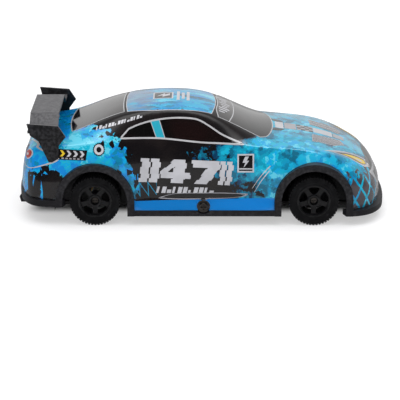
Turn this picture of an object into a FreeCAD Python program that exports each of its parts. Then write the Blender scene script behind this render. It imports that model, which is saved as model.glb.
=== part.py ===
# Remote control car, 1:24 class touring car, as an assembly of separate pieces.
# Frame: +X towards the front, +Y to the left, +Z up. The origin is on the ground,
# below the centre of the whole car. All sizes are millimetres.
import FreeCAD, Part
import Sketcher
import math
import os
from FreeCAD import Placement, Rotation, Vector

# Driving dimensions. Each becomes one named cell of the sheet.
DIMENSIONS = {
    # whole car
    "shell_rear": 98.5, "shell_front": 97.2, "shell_low": 8.7, "shell_wall": 1.2,
    "rear_axle_x": -57.2, "front_axle_x": 59.8, "axle_height": 13.5,
    "gap": 0.1, "running_gap": 0.06,
    # wheel arches, sills and bumper lips
    "arch_radius": 17.3, "arch_trim": 3.7, "trim_face": 41.8, "trim_back": 38.4,
    "trim_low": 5.4, "rear_low": 10.6, "rear_deep": 3.6, "liner_back": 24.0, "liner_wall": 1.2,
    "sill_rear": -38.4, "sill_front": 41.0, "lip_depth": 4.4,
    "side_screw_x": 0.8, "side_screw_z": 10.8, "side_head_radius": 3.4,
    # wheels
    "tyre_radius": 13.5, "tyre_width": 11.5, "wheel_track_half": 35.5,
    "rim_radius": 8.9, "rim_wall": 0.9, "rim_width": 10.4, "hub_radius": 3.2,
    "wheel_bore": 1.31, "axle_radius": 1.25, "axle_half": 37.0, "wheel_screw_head": 1.9,
    "spokes": 5, "hex_low": 24.0, "hex_length": 6.8, "hex_radius": 3.0,
    # rear wing
    "wing_rear": -92.4, "wing_chord": 15.4, "wing_thick": 1.3, "wing_low": 51.2,
    "wing_high": 56.2, "shoulder_half": 17.8, "tip_half": 24.6, "plate_half": 35.4,
    "plate_thick": 1.2, "post_half": 13.0, "post_width": 4.6, "post_chord": 6.4,
    "post_step": 7.6, "boss_radius": 5.2, "boss_top": 46.0, "wing_bore": 1.3,
    # chassis tub
    "floor_low": 5.4, "floor_thick": 1.6, "waist_half": 37.0, "narrow_half": 22.5,
    "tub_wall": 1.5, "tub_front": 90.0, "tub_rear": -79.6, "wall_rise": 7.0,
    "cover_rise": 16.0, "cover_rear": -68.6, "cover_front": -27.0, "cover_thick": 1.4,
    "cover_screw_rear": -66.8, "cover_screw_front": -28.8, "cover_screw_half": 20.3,
    # screws
    "small_head": 1.7, "small_high": 0.9, "small_shank": 0.7, "small_length": 5.0,
    "pilot_radius": 0.75, "screw_hole": 0.9, "large_shank": 0.85, "head_gap": 0.02,
    # drive
    "gear_module": 0.4, "pinion_teeth": 9, "wheel_teeth": 30, "small_teeth": 12,
    "gear_step_x": 8.0, "gear_step_z": 2.56, "motor_step_x": 7.7, "motor_step_z": 1.245,
    "motor_radius": 10.0, "motor_flat": 7.5, "motor_length": 25.0, "motor_face": 8.0,
    "bush_radius": 2.4, "bush_length": 2.0, "pin_radius": 1.05, "shaft_radius": 0.75,
    "gear_side": 10.4, "gear_width": 3.4,
    # steering
    "kingpin_half": 25.0, "kingpin_radius": 1.0, "arm_length": 8.0, "horn_length": 6.0,
    "rack_low": 15.6, "rack_thick": 1.6, "steer_pin_radius": 0.8, "slot_gap": 0.2,
    "sleeve_radius": 2.3, "bridge_low": 20.5, "bridge_thick": 1.6, "bridge_screw_half": 17.0,
    # electrics
    "cell_radius": 7.0, "cell_length": 50.0, "cell_height": 14.4, "cell_middle": -1.0,
    "door_middle": 0.5, "door_length": 57.0, "door_half": 9.0, "door_thick": 1.4,
    "board_rise": 16.6, "board_thick": 1.2, "board_screw_rear": -24.0,
    "board_screw_front": 22.0, "board_screw_half": 13.0, "switch_y": 24.0,
    "wire_radius": 0.6,
}

# Guide curves of the body shell: (x, value) pairs from the tail to the nose.
GUIDES = {
    "centre_height": [(-98.5, 21), (-97.4, 28), (-95.8, 35.5), (-93, 42.4), (-86, 44.2),
                      (-77, 45.2), (-67, 48), (-57, 52.6), (-43, 57.9), (-28, 60.6),
                      (-14, 61.1), (-2, 60), (9, 56.8), (20, 51.6), (31, 46.4), (39, 44.2),
                      (50, 43.1), (62, 41.2), (73, 38), (81, 35.2), (88, 31.8), (93.5, 27.2),
                      (97, 21.6), (98.5, 18.4)],
    "rail_half": [(-98.5, 8), (-95.8, 18), (-93, 22), (-86, 25), (-77, 26), (-67, 25),
                  (-57, 23.5), (-43, 22), (-28, 21), (-10, 21), (5, 22), (20, 24.5),
                  (31, 26), (39, 24), (50, 20), (62, 18), (75, 17), (86, 15), (94, 11),
                  (98.5, 5)],
    "rail_drop": [(-98.5, 0.3), (-77, 0.8), (-57, 1), (-28, 1.7), (0, 1.7), (20, 2.2),
                  (33, 2.3), (42, 0.8), (60, 0.3), (98.5, 0.4)],
    "belt_half": [(-98.5, 13), (-97, 21), (-95, 27), (-93, 30), (-86, 32.3), (-77, 33.6),
                  (-67, 35), (-57, 35.8), (-43, 35.8), (-20, 35.4), (5, 35.2), (20, 34.8),
                  (33, 34), (45, 33.4), (60, 33), (72, 32), (82, 29.6), (89, 25.6),
                  (94, 20), (97, 13), (98.5, 8)],
    "belt_height": [(-98.5, 19.5), (-97.4, 26.5), (-95.8, 33.6), (-93, 39.6), (-86, 41.4),
                    (-77, 41.8), (-67, 42.8), (-57, 44.2), (-43, 45.4), (-20, 45.2),
                    (5, 44), (20, 43), (33, 41.6), (45, 40.8), (60, 39.4), (72, 36.6),
                    (82, 32.2), (89, 28.4), (94, 24.4), (97, 20), (98.5, 17)],
    "side_half": [(-98.5, 17), (-97, 25), (-94.6, 32), (-91.6, 36.8), (-87.6, 38.8),
                  (-80, 39.9), (-70, 40.9), (-58, 41.2), (-46, 40.8), (-34, 39.8),
                  (-20, 39.2), (0, 39), (20, 39.2), (38, 39.6), (48, 40.4), (60, 41),
                  (70, 40.9), (78, 40.2), (84, 38.8), (89, 36), (93, 31.5), (95.8, 26),
                  (97.4, 19.5), (98.5, 12)],
    "side_height": [(-98.5, 15.5), (-96, 19), (-91, 22.5), (-84, 24.5), (-40, 26), (40, 26),
                    (70, 24.5), (82, 21.5), (89, 18.6), (94, 15.6), (98.5, 12.4)],
    "sill_out": [(-98.5, 0), (-44, 0), (-30, 1.9), (32, 1.9), (48, 0), (98.5, 0)],
    "side_lean": [(-98.5, 0.25), (-90, 0.4), (-79, 0.55), (-66, 0.3), (-50, 0.18), (98.5, 0.18)],
}

GUIDE_END = 98.5

# Plan outlines of the bumper lips: half of each, from the arch to the centre line.
FRONT_LIP = [(77.2, 41.8), (84.4, 40.8), (90, 37.8), (94.6, 32.4), (97.6, 25.4), (99.3, 15), (100, 0)]
REAR_LIP = [(-74.6, 41.8), (-83, 41), (-89.4, 39.2), (-94, 34.4), (-97.4, 27), (-99.3, 16), (-100, 0)]

# Longer than the car, for tools that cut right through it.
BEYOND = 300.0


class Size:
    """A number together with the sheet formula that gives it."""

    def __init__(self, value, text):
        self.value = float(value)
        self.text = text

    def __float__(self):
        return self.value

    def __add__(self, other):
        return Size(self.value + float(other), "(%s + %s)" % (self.text, formula(other)))

    def __radd__(self, other):
        return Size(float(other) + self.value, "(%s + %s)" % (formula(other), self.text))

    def __sub__(self, other):
        return Size(self.value - float(other), "(%s - %s)" % (self.text, formula(other)))

    def __rsub__(self, other):
        return Size(float(other) - self.value, "(%s - %s)" % (formula(other), self.text))

    def __mul__(self, other):
        return Size(self.value * float(other), "(%s * %s)" % (self.text, formula(other)))

    __rmul__ = __mul__

    def __neg__(self):
        return Size(-self.value, "(0 - %s)" % self.text)


def formula(value):
    return value.text if isinstance(value, Size) else "%.5f" % value


class Sizes:
    """The sheet's cells by name, such as sizes.tyre_radius."""

    def __init__(self, sheet, dimensions):
        for row, (name, value) in enumerate(dimensions.items(), start=1):
            sheet.set("A%d" % row, name)
            sheet.set("B%d" % row, str(value))
            sheet.setAlias("B%d" % row, name)
            setattr(self, name, Size(value, "%s.%s" % (sheet.Name, name)))


doc = FreeCAD.newDocument("rc_car")
sheet = doc.addObject("Spreadsheet::Sheet", "Dimensions")
s = Sizes(sheet, DIMENSIONS)
doc.recompute()
AXLE = {"X": Rotation(Vector(0, 1, 0), 90), "Y": Rotation(Vector(1, 0, 0), -90), "Z": Rotation()}
nodes = []


# ---------------------------------------------------------------- general helpers

def bind(thing, prop, value):
    """Set a property from the sheet when the value is a Size, else directly."""
    if isinstance(value, Size):
        thing.setExpression(prop, value.text)
    elif prop.startswith("Placement.Base."):
        base = thing.Placement.Base
        setattr(base, prop[-1], value)
        thing.Placement = Placement(base, thing.Placement.Rotation)
    else:
        setattr(thing, prop, value)


def node(label, thing):
    """Name a finished sub-part; its label names its file."""
    thing.Label = label
    nodes.append(thing)
    return thing


def box(x, y, z):
    """Block between pairs of low and high values along each axis."""
    block = doc.addObject("Part::Box", "block")
    for prop, pair in (("Length", x), ("Width", y), ("Height", z)):
        bind(block, prop, pair[1] - pair[0])
    for prop, pair in (("x", x), ("y", y), ("z", z)):
        bind(block, "Placement.Base." + prop, pair[0])
    return block


def rod(axis, radius, at, length):
    """Cylinder that starts at a point and runs along +X, +Y or +Z."""
    cylinder = doc.addObject("Part::Cylinder", "rod")
    cylinder.Placement = Placement(Vector(), AXLE[axis])
    bind(cylinder, "Radius", radius)
    bind(cylinder, "Height", length)
    for prop, value in zip("xyz", at):
        bind(cylinder, "Placement.Base." + prop, value)
    return cylinder


def fuse(*things):
    joined = doc.addObject("Part::MultiFuse", "joined")
    joined.Shapes = list(things)
    return joined


def cut(base, *tools):
    left = doc.addObject("Part::Cut", "cut")
    left.Base = base
    left.Tool = tools[0] if len(tools) == 1 else fuse(*tools)
    return left


def common(first, second):
    shared = doc.addObject("Part::Common", "shared")
    shared.Base = first
    shared.Tool = second
    return shared


def group(*things):
    """Identical loose pieces in one node."""
    pieces = doc.addObject("Part::Compound", "pieces")
    pieces.Links = list(things)
    return pieces


def mirrored(thing):
    """The same piece on the other side of the centre plane."""
    other = doc.addObject("Part::Mirroring", "mirrored")
    other.Source = thing
    other.Normal = Vector(0, 1, 0)
    return other


def free_shape(name, shape):
    feature = doc.addObject("Part::Feature", name)
    feature.Shape = shape
    return feature


def new_body(name):
    return doc.addObject("PartDesign::Body", name)


def sketch_on(body, role, offset=0.0):
    """Empty sketch on one of the body's own origin planes, moved along its normal."""
    sketch = body.newObject("Sketcher::SketchObject", "sketch")
    plane = [item for item in body.Origin.OriginFeatures if item.Role == role][0]
    sketch.AttachmentSupport = [(plane, "")]
    sketch.MapMode = "FlatFace"
    sketch.AttachmentOffset = Placement(Vector(0, 0, float(offset)), Rotation())
    if isinstance(offset, Size):
        sketch.setExpression("AttachmentOffset.Base.z", offset.text)
    return sketch


def fix(sketch, kind, index, point, value):
    number = sketch.addConstraint(Sketcher.Constraint(kind, -1, 1, index, point, float(value)))
    if isinstance(value, Size):
        sketch.setExpression("Constraints[%d]" % number, value.text)


def polygon(sketch, corners):
    """Closed straight-sided outline with every corner placed from the origin."""
    points = [Vector(float(a), float(b), 0) for a, b in corners]
    first = sketch.GeometryCount
    count = len(points)
    for index in range(count):
        sketch.addGeometry(Part.LineSegment(points[index], points[(index + 1) % count]), False)
    for index in range(count):
        following = first + (index + 1) % count
        sketch.addConstraint(Sketcher.Constraint("Coincident", first + index, 2, following, 1))
    for index, (a, b) in enumerate(corners):
        for kind, value in (("DistanceX", a), ("DistanceY", b)):
            if float(value) == 0.0:
                line = -2 if kind == "DistanceX" else -1
                sketch.addConstraint(Sketcher.Constraint("PointOnObject", first + index, 1, line))
            else:
                fix(sketch, kind, first + index, 1, value)


def circle(sketch, a, b, radius):
    outline = Part.Circle(Vector(float(a), float(b), 0), Vector(0, 0, 1), float(radius))
    index = sketch.addGeometry(outline, False)
    for kind, value in (("DistanceX", a), ("DistanceY", b)):
        if float(value) == 0.0:
            line = -2 if kind == "DistanceX" else -1
            sketch.addConstraint(Sketcher.Constraint("PointOnObject", index, 3, line))
        else:
            fix(sketch, kind, index, 3, value)
    number = sketch.addConstraint(Sketcher.Constraint("Radius", index, float(radius)))
    if isinstance(radius, Size):
        sketch.setExpression("Constraints[%d]" % number, radius.text)


def rectangle(sketch, a, b):
    polygon(sketch, [(a[0], b[0]), (a[1], b[0]), (a[1], b[1]), (a[0], b[1])])


def extrude(body, sketch, length, kind="Pad", middle=False, backwards=False):
    feature = body.newObject("PartDesign::" + kind, kind.lower())
    feature.Profile = sketch
    bind(feature, "Length", length)
    feature.Midplane = middle
    feature.Reversed = backwards
    return feature


def revolve(body, sketch, axis):
    feature = body.newObject("PartDesign::Revolution", "revolution")
    feature.Profile = sketch
    feature.ReferenceAxis = (sketch, [axis])
    feature.Angle = 360
    return feature


def place(thing, x, y, z, rotation=Rotation()):
    thing.Placement = Placement(Vector(), rotation)
    for prop, value in zip("xyz", (x, y, z)):
        bind(thing, "Placement.Base." + prop, value)
    return thing


# ---------------------------------------------------------------- body shell

def guide(name, x):
    """Smooth value of a guide curve that never overshoots its points."""
    points = GUIDES[name]
    steps = [right[0] - left[0] for left, right in zip(points, points[1:])]
    slopes = [(right[1] - left[1]) / step for left, right, step in zip(points, points[1:], steps)]
    tangents = [slopes[0]]
    for before, after in zip(slopes, slopes[1:]):
        tangents.append(0.0 if before * after <= 0 else 2 * before * after / (before + after))
    tangents.append(slopes[-1])
    x = min(max(x, points[0][0]), points[-1][0])
    k = max(index for index in range(len(steps)) if points[index][0] <= x)
    u = (x - points[k][0]) / steps[k]
    start, end = points[k][1], points[k + 1][1]
    blend = (2 * u**3 - 3 * u**2 + 1) * start + (3 * u**2 - 2 * u**3) * end
    return blend + steps[k] * ((u**3 - 2 * u**2 + u) * tangents[k] + (u**3 - u**2) * tangents[k + 1])


def fair(name, x):
    """Guide value averaged over a short window that closes up at the nose and tail."""
    window = min(8.0, 0.6 * (GUIDE_END - abs(x)))
    weights = (1, 2, 3, 4, 3, 2, 1)
    middle = len(weights) // 2
    total = sum(w * guide(name, x + window * (k - middle) / middle) for k, w in enumerate(weights))
    return total / sum(weights)


def half_section(x):
    """Points of one cross-section from the sill up to the centre line, as (y, z)."""
    low = float(s.shell_low)
    side, belt, rail = fair("side_half", x), fair("belt_half", x), fair("rail_half", x)
    top, middle, shoulder = fair("centre_height", x), fair("side_height", x), fair("belt_height", x)
    eaves = top - fair("rail_drop", x)
    out, lean = fair("sill_out", x), fair("side_lean", x)
    rise = middle - low
    return [
        (side + out, low),
        (side + 0.8 * out, low + 0.15 * rise),
        (side - 0.3 * out, low + 0.32 * rise),
        (side - 0.1 * out, low + 0.58 * rise),
        (side, middle),
        (side - lean * (side - belt), middle + 0.5 * (shoulder - middle)),
        (side - 0.7 * (side - belt), middle + 0.86 * (shoulder - middle)),
        (belt, shoulder),
        (belt - 0.7, shoulder + 0.5),
        (belt + 0.40 * (rail - belt), shoulder + 0.44 * (eaves - shoulder)),
        (belt + 0.80 * (rail - belt), shoulder + 0.85 * (eaves - shoulder)),
        (rail + 0.5, eaves - 0.3),
        (rail - 0.8, eaves + 0.1),
        (0.66 * rail, eaves + 0.62 * (top - eaves)),
        (0.33 * rail, eaves + 0.91 * (top - eaves)),
        (0.0, top),
    ]


def skin_solid(inset):
    """Closed solid under one smooth surface whose control points are the cross-sections."""
    stations = 36
    rows = []
    for k in range(stations + 1):
        along = math.sin(math.pi * (k / stations - 0.5))
        half = half_section(GUIDE_END * along)
        reach = float(s.shell_front if along > 0 else s.shell_rear) - inset
        last = len(half) - 1
        row = []
        for i, (y, z) in enumerate(half):
            inwards = inset * min(1.0, 1.6 * (1 - i / last))
            downwards = inset * min(1.0, 2.2 * i / last)
            row.append(Vector(reach * along, -max(y - inwards, 0.0), z - downwards))
        if inset:
            row[0].z -= 1.0
        rows.append(row + [Vector(p.x, -p.y, p.z) for p in reversed(row[:-1])])
    surface = Part.BSplineSurface()
    along_knots, along_counts = clamped_knots(len(rows))
    round_knots, round_counts = clamped_knots(len(rows[0]))
    cubic = 3
    surface.buildFromPolesMultsKnots(
        rows, along_counts, round_counts, along_knots, round_knots, False, False, cubic, cubic)
    skin = surface.toShape()
    low_edges = [edge for edge in skin.Edges if edge.BoundBox.ZLength < 1e-6]
    across = [Part.LineSegment(row[0], row[-1]).toShape() for row in (rows[0], rows[-1])]
    floor = Part.Face(Part.Wire(Part.__sortEdges__(low_edges + across)))
    ends = []
    for row, line in zip((rows[0], rows[-1]), across):
        flat = [edge for edge in skin.Edges if edge.BoundBox.XLength < 1e-6]
        arc = [edge for edge in flat if abs(edge.BoundBox.XMin - row[0].x) < 1e-3]
        ends.append(Part.Face(Part.Wire(Part.__sortEdges__(arc + [line]))))
    closed = Part.makeShell([skin.Faces[0], floor] + ends)
    closed.sewShape()
    solid = Part.makeSolid(closed)
    if solid.Volume < 0:
        solid.reverse()
    return solid


def clamped_knots(count):
    """Even knots of a cubic curve with this many control points, tight at both ends."""
    inside = count - 4
    knots = list(range(inside + 2))
    return knots, [4] + [1] * inside + [4]


def arch_opening(x, radius, inner):
    """Wheel opening through both sides: round above the axle, straight below it."""
    height = float(s.axle_height)
    depth = 60.0
    tools = []
    for y in (inner, -inner - depth):
        tools.append(Part.makeCylinder(radius, depth, Vector(x, y, height), Vector(0, 1, 0)))
        tools.append(Part.makeBox(2 * radius, depth, BEYOND, Vector(x - radius, y, height - BEYOND)))
    return tools[0].multiFuse(tools[1:])


def post_x():
    """Middle of the wing posts along the car."""
    return s.wing_rear + s.post_step


def slab_below(front, top):
    """Everything behind front and below top."""
    return Part.makeBox(BEYOND, BEYOND, BEYOND, Vector(front - BEYOND, -BEYOND / 2, top - BEYOND))


def wing_bosses():
    """Rounded bosses on the boot that carry the wing posts."""
    depth, rounding = 12.0, 1.2
    top = float(s.boss_top)
    bosses = []
    for y in (-float(s.post_half), float(s.post_half)):
        boss = Part.makeCylinder(float(s.boss_radius), depth, Vector(float(post_x()), y, top - depth))
        rim = [edge for edge in boss.Edges if abs(edge.BoundBox.ZMin - top) < 0.01]
        bosses.append(boss.makeFillet(rounding, rim))
    return bosses


def body_shell():
    """The envelope of the shell, and the thin shell itself with its openings."""
    seat_radius, seat_out, seat_in, seat_depth = 3.95, 40.5, 39.7, 3.0
    outer = skin_solid(0.0)
    bosses = wing_bosses()
    shell = outer.fuse(bosses).cut(skin_solid(float(s.shell_wall)))
    screw = Vector(float(s.side_screw_x), 0, float(s.side_screw_z))
    for side in (-1, 1):
        seat = Vector(screw.x, side * seat_out, screw.z)
        shell = shell.fuse(Part.makeCylinder(seat_radius, seat_depth, seat, Vector(0, -side, 0)))
    rear_top = float(s.rear_low) + float(s.rear_deep) + float(s.gap)
    behind_arch = float(s.rear_axle_x) - float(s.arch_radius)
    shell = shell.cut(slab_below(BEYOND / 2, float(s.shell_low)))
    shell = shell.cut(slab_below(behind_arch, rear_top))
    for side in (-1, 1):
        face = Vector(screw.x, side * seat_in, screw.z)
        recess = float(s.side_head_radius) + 0.2
        shell = shell.cut(Part.makeCylinder(recess, BEYOND, face, Vector(0, side, 0)))
        shell = shell.cut(Part.makeCylinder(float(s.wing_bore), BEYOND, screw, Vector(0, side, 0)))
    radius = float(s.arch_radius) + float(s.arch_trim) + float(s.gap)
    for x in (float(s.rear_axle_x), float(s.front_axle_x)):
        shell = shell.cut(arch_opening(x, radius, 22.0))
    for y in (-float(s.post_half), float(s.post_half)):
        start = Vector(float(post_x()), y, float(s.boss_top) - 16)
        shell = shell.cut(Part.makeCylinder(float(s.wing_bore), 20, start))
    volumes = [solid.Volume for solid in shell.Solids]
    biggest = shell.Solids[volumes.index(max(volumes))]
    return outer.fuse(bosses), free_shape("shell", biggest)


# ---------------------------------------------------------------- black trim

def lip_band(outline, depth, low, high):
    """Bumper band between a plan outline and the same outline moved inwards."""
    def whole_curve(half):
        right = [Vector(x, y, low) for x, y in half]
        left = [Vector(x, -y, low) for x, y in reversed(half[:-1])]
        curve = Part.BSplineCurve()
        curve.interpolate(Points=right + left)
        return curve

    sign = 1 if outline[0][0] > 0 else -1
    shrink_to = 60
    inner = []
    for x, y in outline:
        shrink = depth / math.hypot(abs(x) - shrink_to, y)
        inner.append((x - sign * (abs(x) - shrink_to) * shrink, y * (1 - shrink)))
    first, second = whole_curve(outline), whole_curve(inner)
    start = Part.LineSegment(first.StartPoint, second.StartPoint)
    end = Part.LineSegment(first.EndPoint, second.EndPoint)
    edges = [curve.toShape() for curve in (first, second, start, end)]
    face = Part.Face(Part.Wire(Part.__sortEdges__(edges)))
    return face.extrude(Vector(0, 0, high - low))


def arch_trim(x, side):
    """Arch with straight legs, a collar that reaches the skin and a wheel-well liner."""
    low, back, face = float(s.trim_low), float(s.trim_back), float(s.trim_face)
    inner, outer = float(s.arch_radius), float(s.arch_radius) + float(s.arch_trim)
    height, liner = float(s.axle_height), float(s.liner_back)
    well_low = height + 1.5

    def tube(radius, start, end):
        corner = Vector(x, min(side * start, side * end), height)
        return Part.makeCylinder(radius, end - start, corner, Vector(0, 1, 0))

    def block(half, start, end, bottom, top):
        corner = Vector(x - half, min(side * start, side * end), bottom)
        return Part.makeBox(2 * half, end - start, top - bottom, corner)

    rim = tube(outer, back, face).fuse(block(outer, back, face, low, height))
    rim = rim.cut(tube(inner, back - 1, face + 1).fuse(block(inner, back - 1, face + 1, 0, height)))
    rim = rim.cut(block(outer + 1, back - 1, face + 1, low - outer, low))
    well = tube(outer, liner, back).cut(tube(outer - float(s.liner_wall), liner - 1, back))
    well = well.cut(block(outer + 1, liner - 1, back, well_low - 2 * outer, well_low))
    return rim.fuse(well)


def diffuser_fin(y):
    """One of the fins that hang below the rear bumper."""
    low, thick = float(s.rear_low), 1.6
    outline = [(-87, 0.6), (-98.6, 0.6), (-99.6, -0.8), (-98.8, -3.8), (-95.6, -3.8), (-87, -1.0)]
    corners = [Vector(x, y - thick / 2, low + drop) for x, drop in outline]
    return Part.Face(Part.makePolygon(corners + corners[:1])).extrude(Vector(0, thick, 0))


def skirt_frame():
    low, back, face = float(s.trim_low), float(s.trim_back), float(s.trim_face)
    top = float(s.shell_low) - float(s.gap)
    rear_low, rear_deep = float(s.rear_low), float(s.rear_deep)
    rear, front = float(s.sill_rear), float(s.sill_front)
    inset = 0.4
    sill_width = face - back - inset
    pieces = []
    for side in (-1, 1):
        pieces += [arch_trim(float(x), side) for x in (s.rear_axle_x, s.front_axle_x)]
        start = back if side > 0 else inset - face
        pieces.append(Part.makeBox(front - rear, sill_width, top - low, Vector(rear, start, low)))
    pieces.append(lip_band(FRONT_LIP, float(s.lip_depth), low, top))
    pieces.append(lip_band(REAR_LIP, float(s.lip_depth), rear_low, rear_low + rear_deep))
    for length, width, corner in (
            (17, 52, Vector(-97, -26, rear_low)),
            (6.4, 40, Vector(90.2, -20, low))):
        pieces.append(Part.makeBox(length, width, float(s.liner_wall), corner))
    pieces += [diffuser_fin(y) for y in (-21.5, -8.5, 8.5, 21.5)]
    frame = pieces[0].multiFuse(pieces[1:])
    arch_middle = float(s.rear_axle_x) - 16
    fins = Part.makeBox(15, 60, BEYOND, Vector(-101, -30, rear_low - BEYOND))
    frame = frame.cut(slab_below(arch_middle, rear_low).cut(fins))
    for side in (-1, 1):
        head = Vector(float(s.side_screw_x), side * 30, float(s.side_screw_z))
        frame = frame.cut(Part.makeCylinder(float(s.side_head_radius) + 0.7, 14, head, Vector(0, side, 0)))
    return free_shape("trim", frame)


# ---------------------------------------------------------------- rear wing

def wing_blade():
    body = new_body("blade")
    sketch = sketch_on(body, "YZ_Plane", s.wing_rear)
    top = [(-s.plate_half, s.wing_low), (-s.tip_half, s.wing_low), (-s.shoulder_half, s.wing_high),
           (s.shoulder_half, s.wing_high), (s.tip_half, s.wing_low), (s.plate_half, s.wing_low)]
    underside = [(y, z - s.wing_thick) for y, z in reversed(top)]
    polygon(sketch, top + underside)
    extrude(body, sketch, s.wing_chord)
    return body


def wing_plate():
    """End plate with a notched front and a foot that reaches the fender."""
    body = new_body("plate")
    sketch = sketch_on(body, "XZ_Plane", s.plate_half)
    polygon(sketch, [(-92.6, 55.4), (-76.0, 54.2), (-72.2, 48.2), (-76.0, 43.2), (-76.4, 33.6),
                     (-81.6, 34.4), (-86.6, 46.0), (-91.0, 49.0)])
    extrude(body, sketch, s.plate_thick)
    return body


def rear_wing(skin):
    plate = wing_plate()
    other = mirrored(plate)
    parts = fuse(wing_blade(), plate, other)
    return cut(parts, skin)


def wing_posts(skin):
    """Blocks that stand on the bosses and hold the blade."""
    x = post_x()
    chord, width, start = s.post_chord * 0.5, s.post_width * 0.5, s.boss_top - 4.0
    posts = []
    for y in (-s.post_half, s.post_half):
        block = box((x - chord, x + chord), (y - width, y + width), (start, s.wing_high - s.wing_thick))
        pilot = rod("Z", s.screw_hole, (x, y, start - 2.0), 10.5)
        posts.append(cut(block, pilot, skin))
    return group(*posts)


# ---------------------------------------------------------------- screws

def cross_screw(head_radius, head_high, shank_radius, shank_length, washer=0.0):
    """Pan-head screw at the origin, head up along +Z, with a cross recess."""
    head = Part.makeCylinder(head_radius, washer) if washer else None
    crown_radius = head_radius * (0.72 if washer else 1.0)
    crown = Part.makeCylinder(crown_radius, head_high, Vector(0, 0, washer))
    rim = [edge for edge in crown.Edges if abs(edge.BoundBox.ZMin - washer - head_high) < 1e-6]
    crown = crown.makeFillet(0.45 * head_high, rim)
    shank = Part.makeCylinder(shank_radius, shank_length, Vector(0, 0, -shank_length))
    shape = crown.fuse([shank] + ([head] if head else []))
    slot = 0.28 * crown_radius
    reach = 1.3 * crown_radius
    depth = 0.55 * head_high
    for a, b in ((slot, reach), (reach, slot)):
        shape = shape.cut(Part.makeBox(a, b, depth + 1, Vector(-a / 2, -b / 2, washer + head_high - depth)))
    return shape


def screws(name, shape, seats):
    """Copies of one screw; each seat is a point and the direction the head faces."""
    copies = []
    for point, direction in seats:
        turn = Rotation(Vector(0, 0, 1), Vector(*direction))
        copy = shape.copy()
        copy.Placement = Placement(Vector(*[float(value) for value in point]), turn)
        copies.append(copy)
    return free_shape(name, Part.makeCompound(copies) if len(copies) > 1 else copies[0])


# ---------------------------------------------------------------- wheels

def rim():
    """Five-spoke rim; its outer face looks towards -Y before it is placed."""
    body = new_body("rim")
    sketch = sketch_on(body, "XY_Plane")
    half, outer, barrel = s.rim_width * 0.5, s.rim_radius, s.rim_radius - s.rim_wall
    bore, recess, hub = s.wheel_bore, s.wheel_screw_head + 0.4, s.hub_radius
    dish, spoke_back, hub_face = 1.8 - half, 3.2 - half, half - 0.6
    polygon(sketch, [(bore, 0.6 - half * 0.5), (recess, 0.6 - half * 0.5), (recess, 0.6 - half),
                     (hub, 0.6 - half), (hub + 0.3, 1.4 - half), (barrel, dish), (barrel, 0.5 - half),
                     (outer, -half), (outer, half), (barrel, half), (barrel, spoke_back),
                     (hub, spoke_back), (hub, hub_face), (bore, hub_face)])
    revolve(body, sketch, "V_Axis")
    window = sketch_on(body, "XZ_Plane", half)
    side = [(0.46, 12), (0.66, 23), (0.92, 25.5), (0.985, 17)]
    outline = [(r, -a) for r, a in side] + [(1.0, 0)] + list(reversed(side))
    polygon(window, [(-barrel * (r * math.sin(math.radians(a))), barrel * (r * math.cos(math.radians(a))))
                     for r, a in outline])
    opening = extrude(body, window, 4.0, "Pocket")
    pattern = body.newObject("PartDesign::PolarPattern", "windows")
    pattern.Originals = [opening]
    pattern.Axis = (window, ["N_Axis"])
    pattern.Occurrences = int(float(s.spokes))
    body.Tip = pattern
    return body


def tyre():
    body = new_body("tyre")
    sketch = sketch_on(body, "XY_Plane")
    half, outer, inner = s.tyre_width * 0.5, s.tyre_radius, s.rim_radius + 0.03
    wall = [(inner, half - 0.4), (inner + 1.6, half), (outer - 1.9, half - 0.2),
            (outer - 0.5, half - 1.1), (outer, half - 2.6)]
    polygon(sketch, [(r, -y) for r, y in wall] + list(reversed(wall)))
    revolve(body, sketch, "V_Axis")
    return body


def wheels():
    for corner, x in (("rear", s.rear_axle_x), ("front", s.front_axle_x)):
        for hand, sign in (("right", -1), ("left", 1)):
            turn = Rotation(Vector(0, 0, 1), 0 if sign < 0 else 180)
            for part, piece in (("rim", rim()), ("tyre", tyre())):
                label = "%s_%s_%s" % (corner, part, hand)
                node(label, place(piece, x, sign * s.wheel_track_half, s.axle_height, turn))


# ---------------------------------------------------------------- chassis

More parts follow.
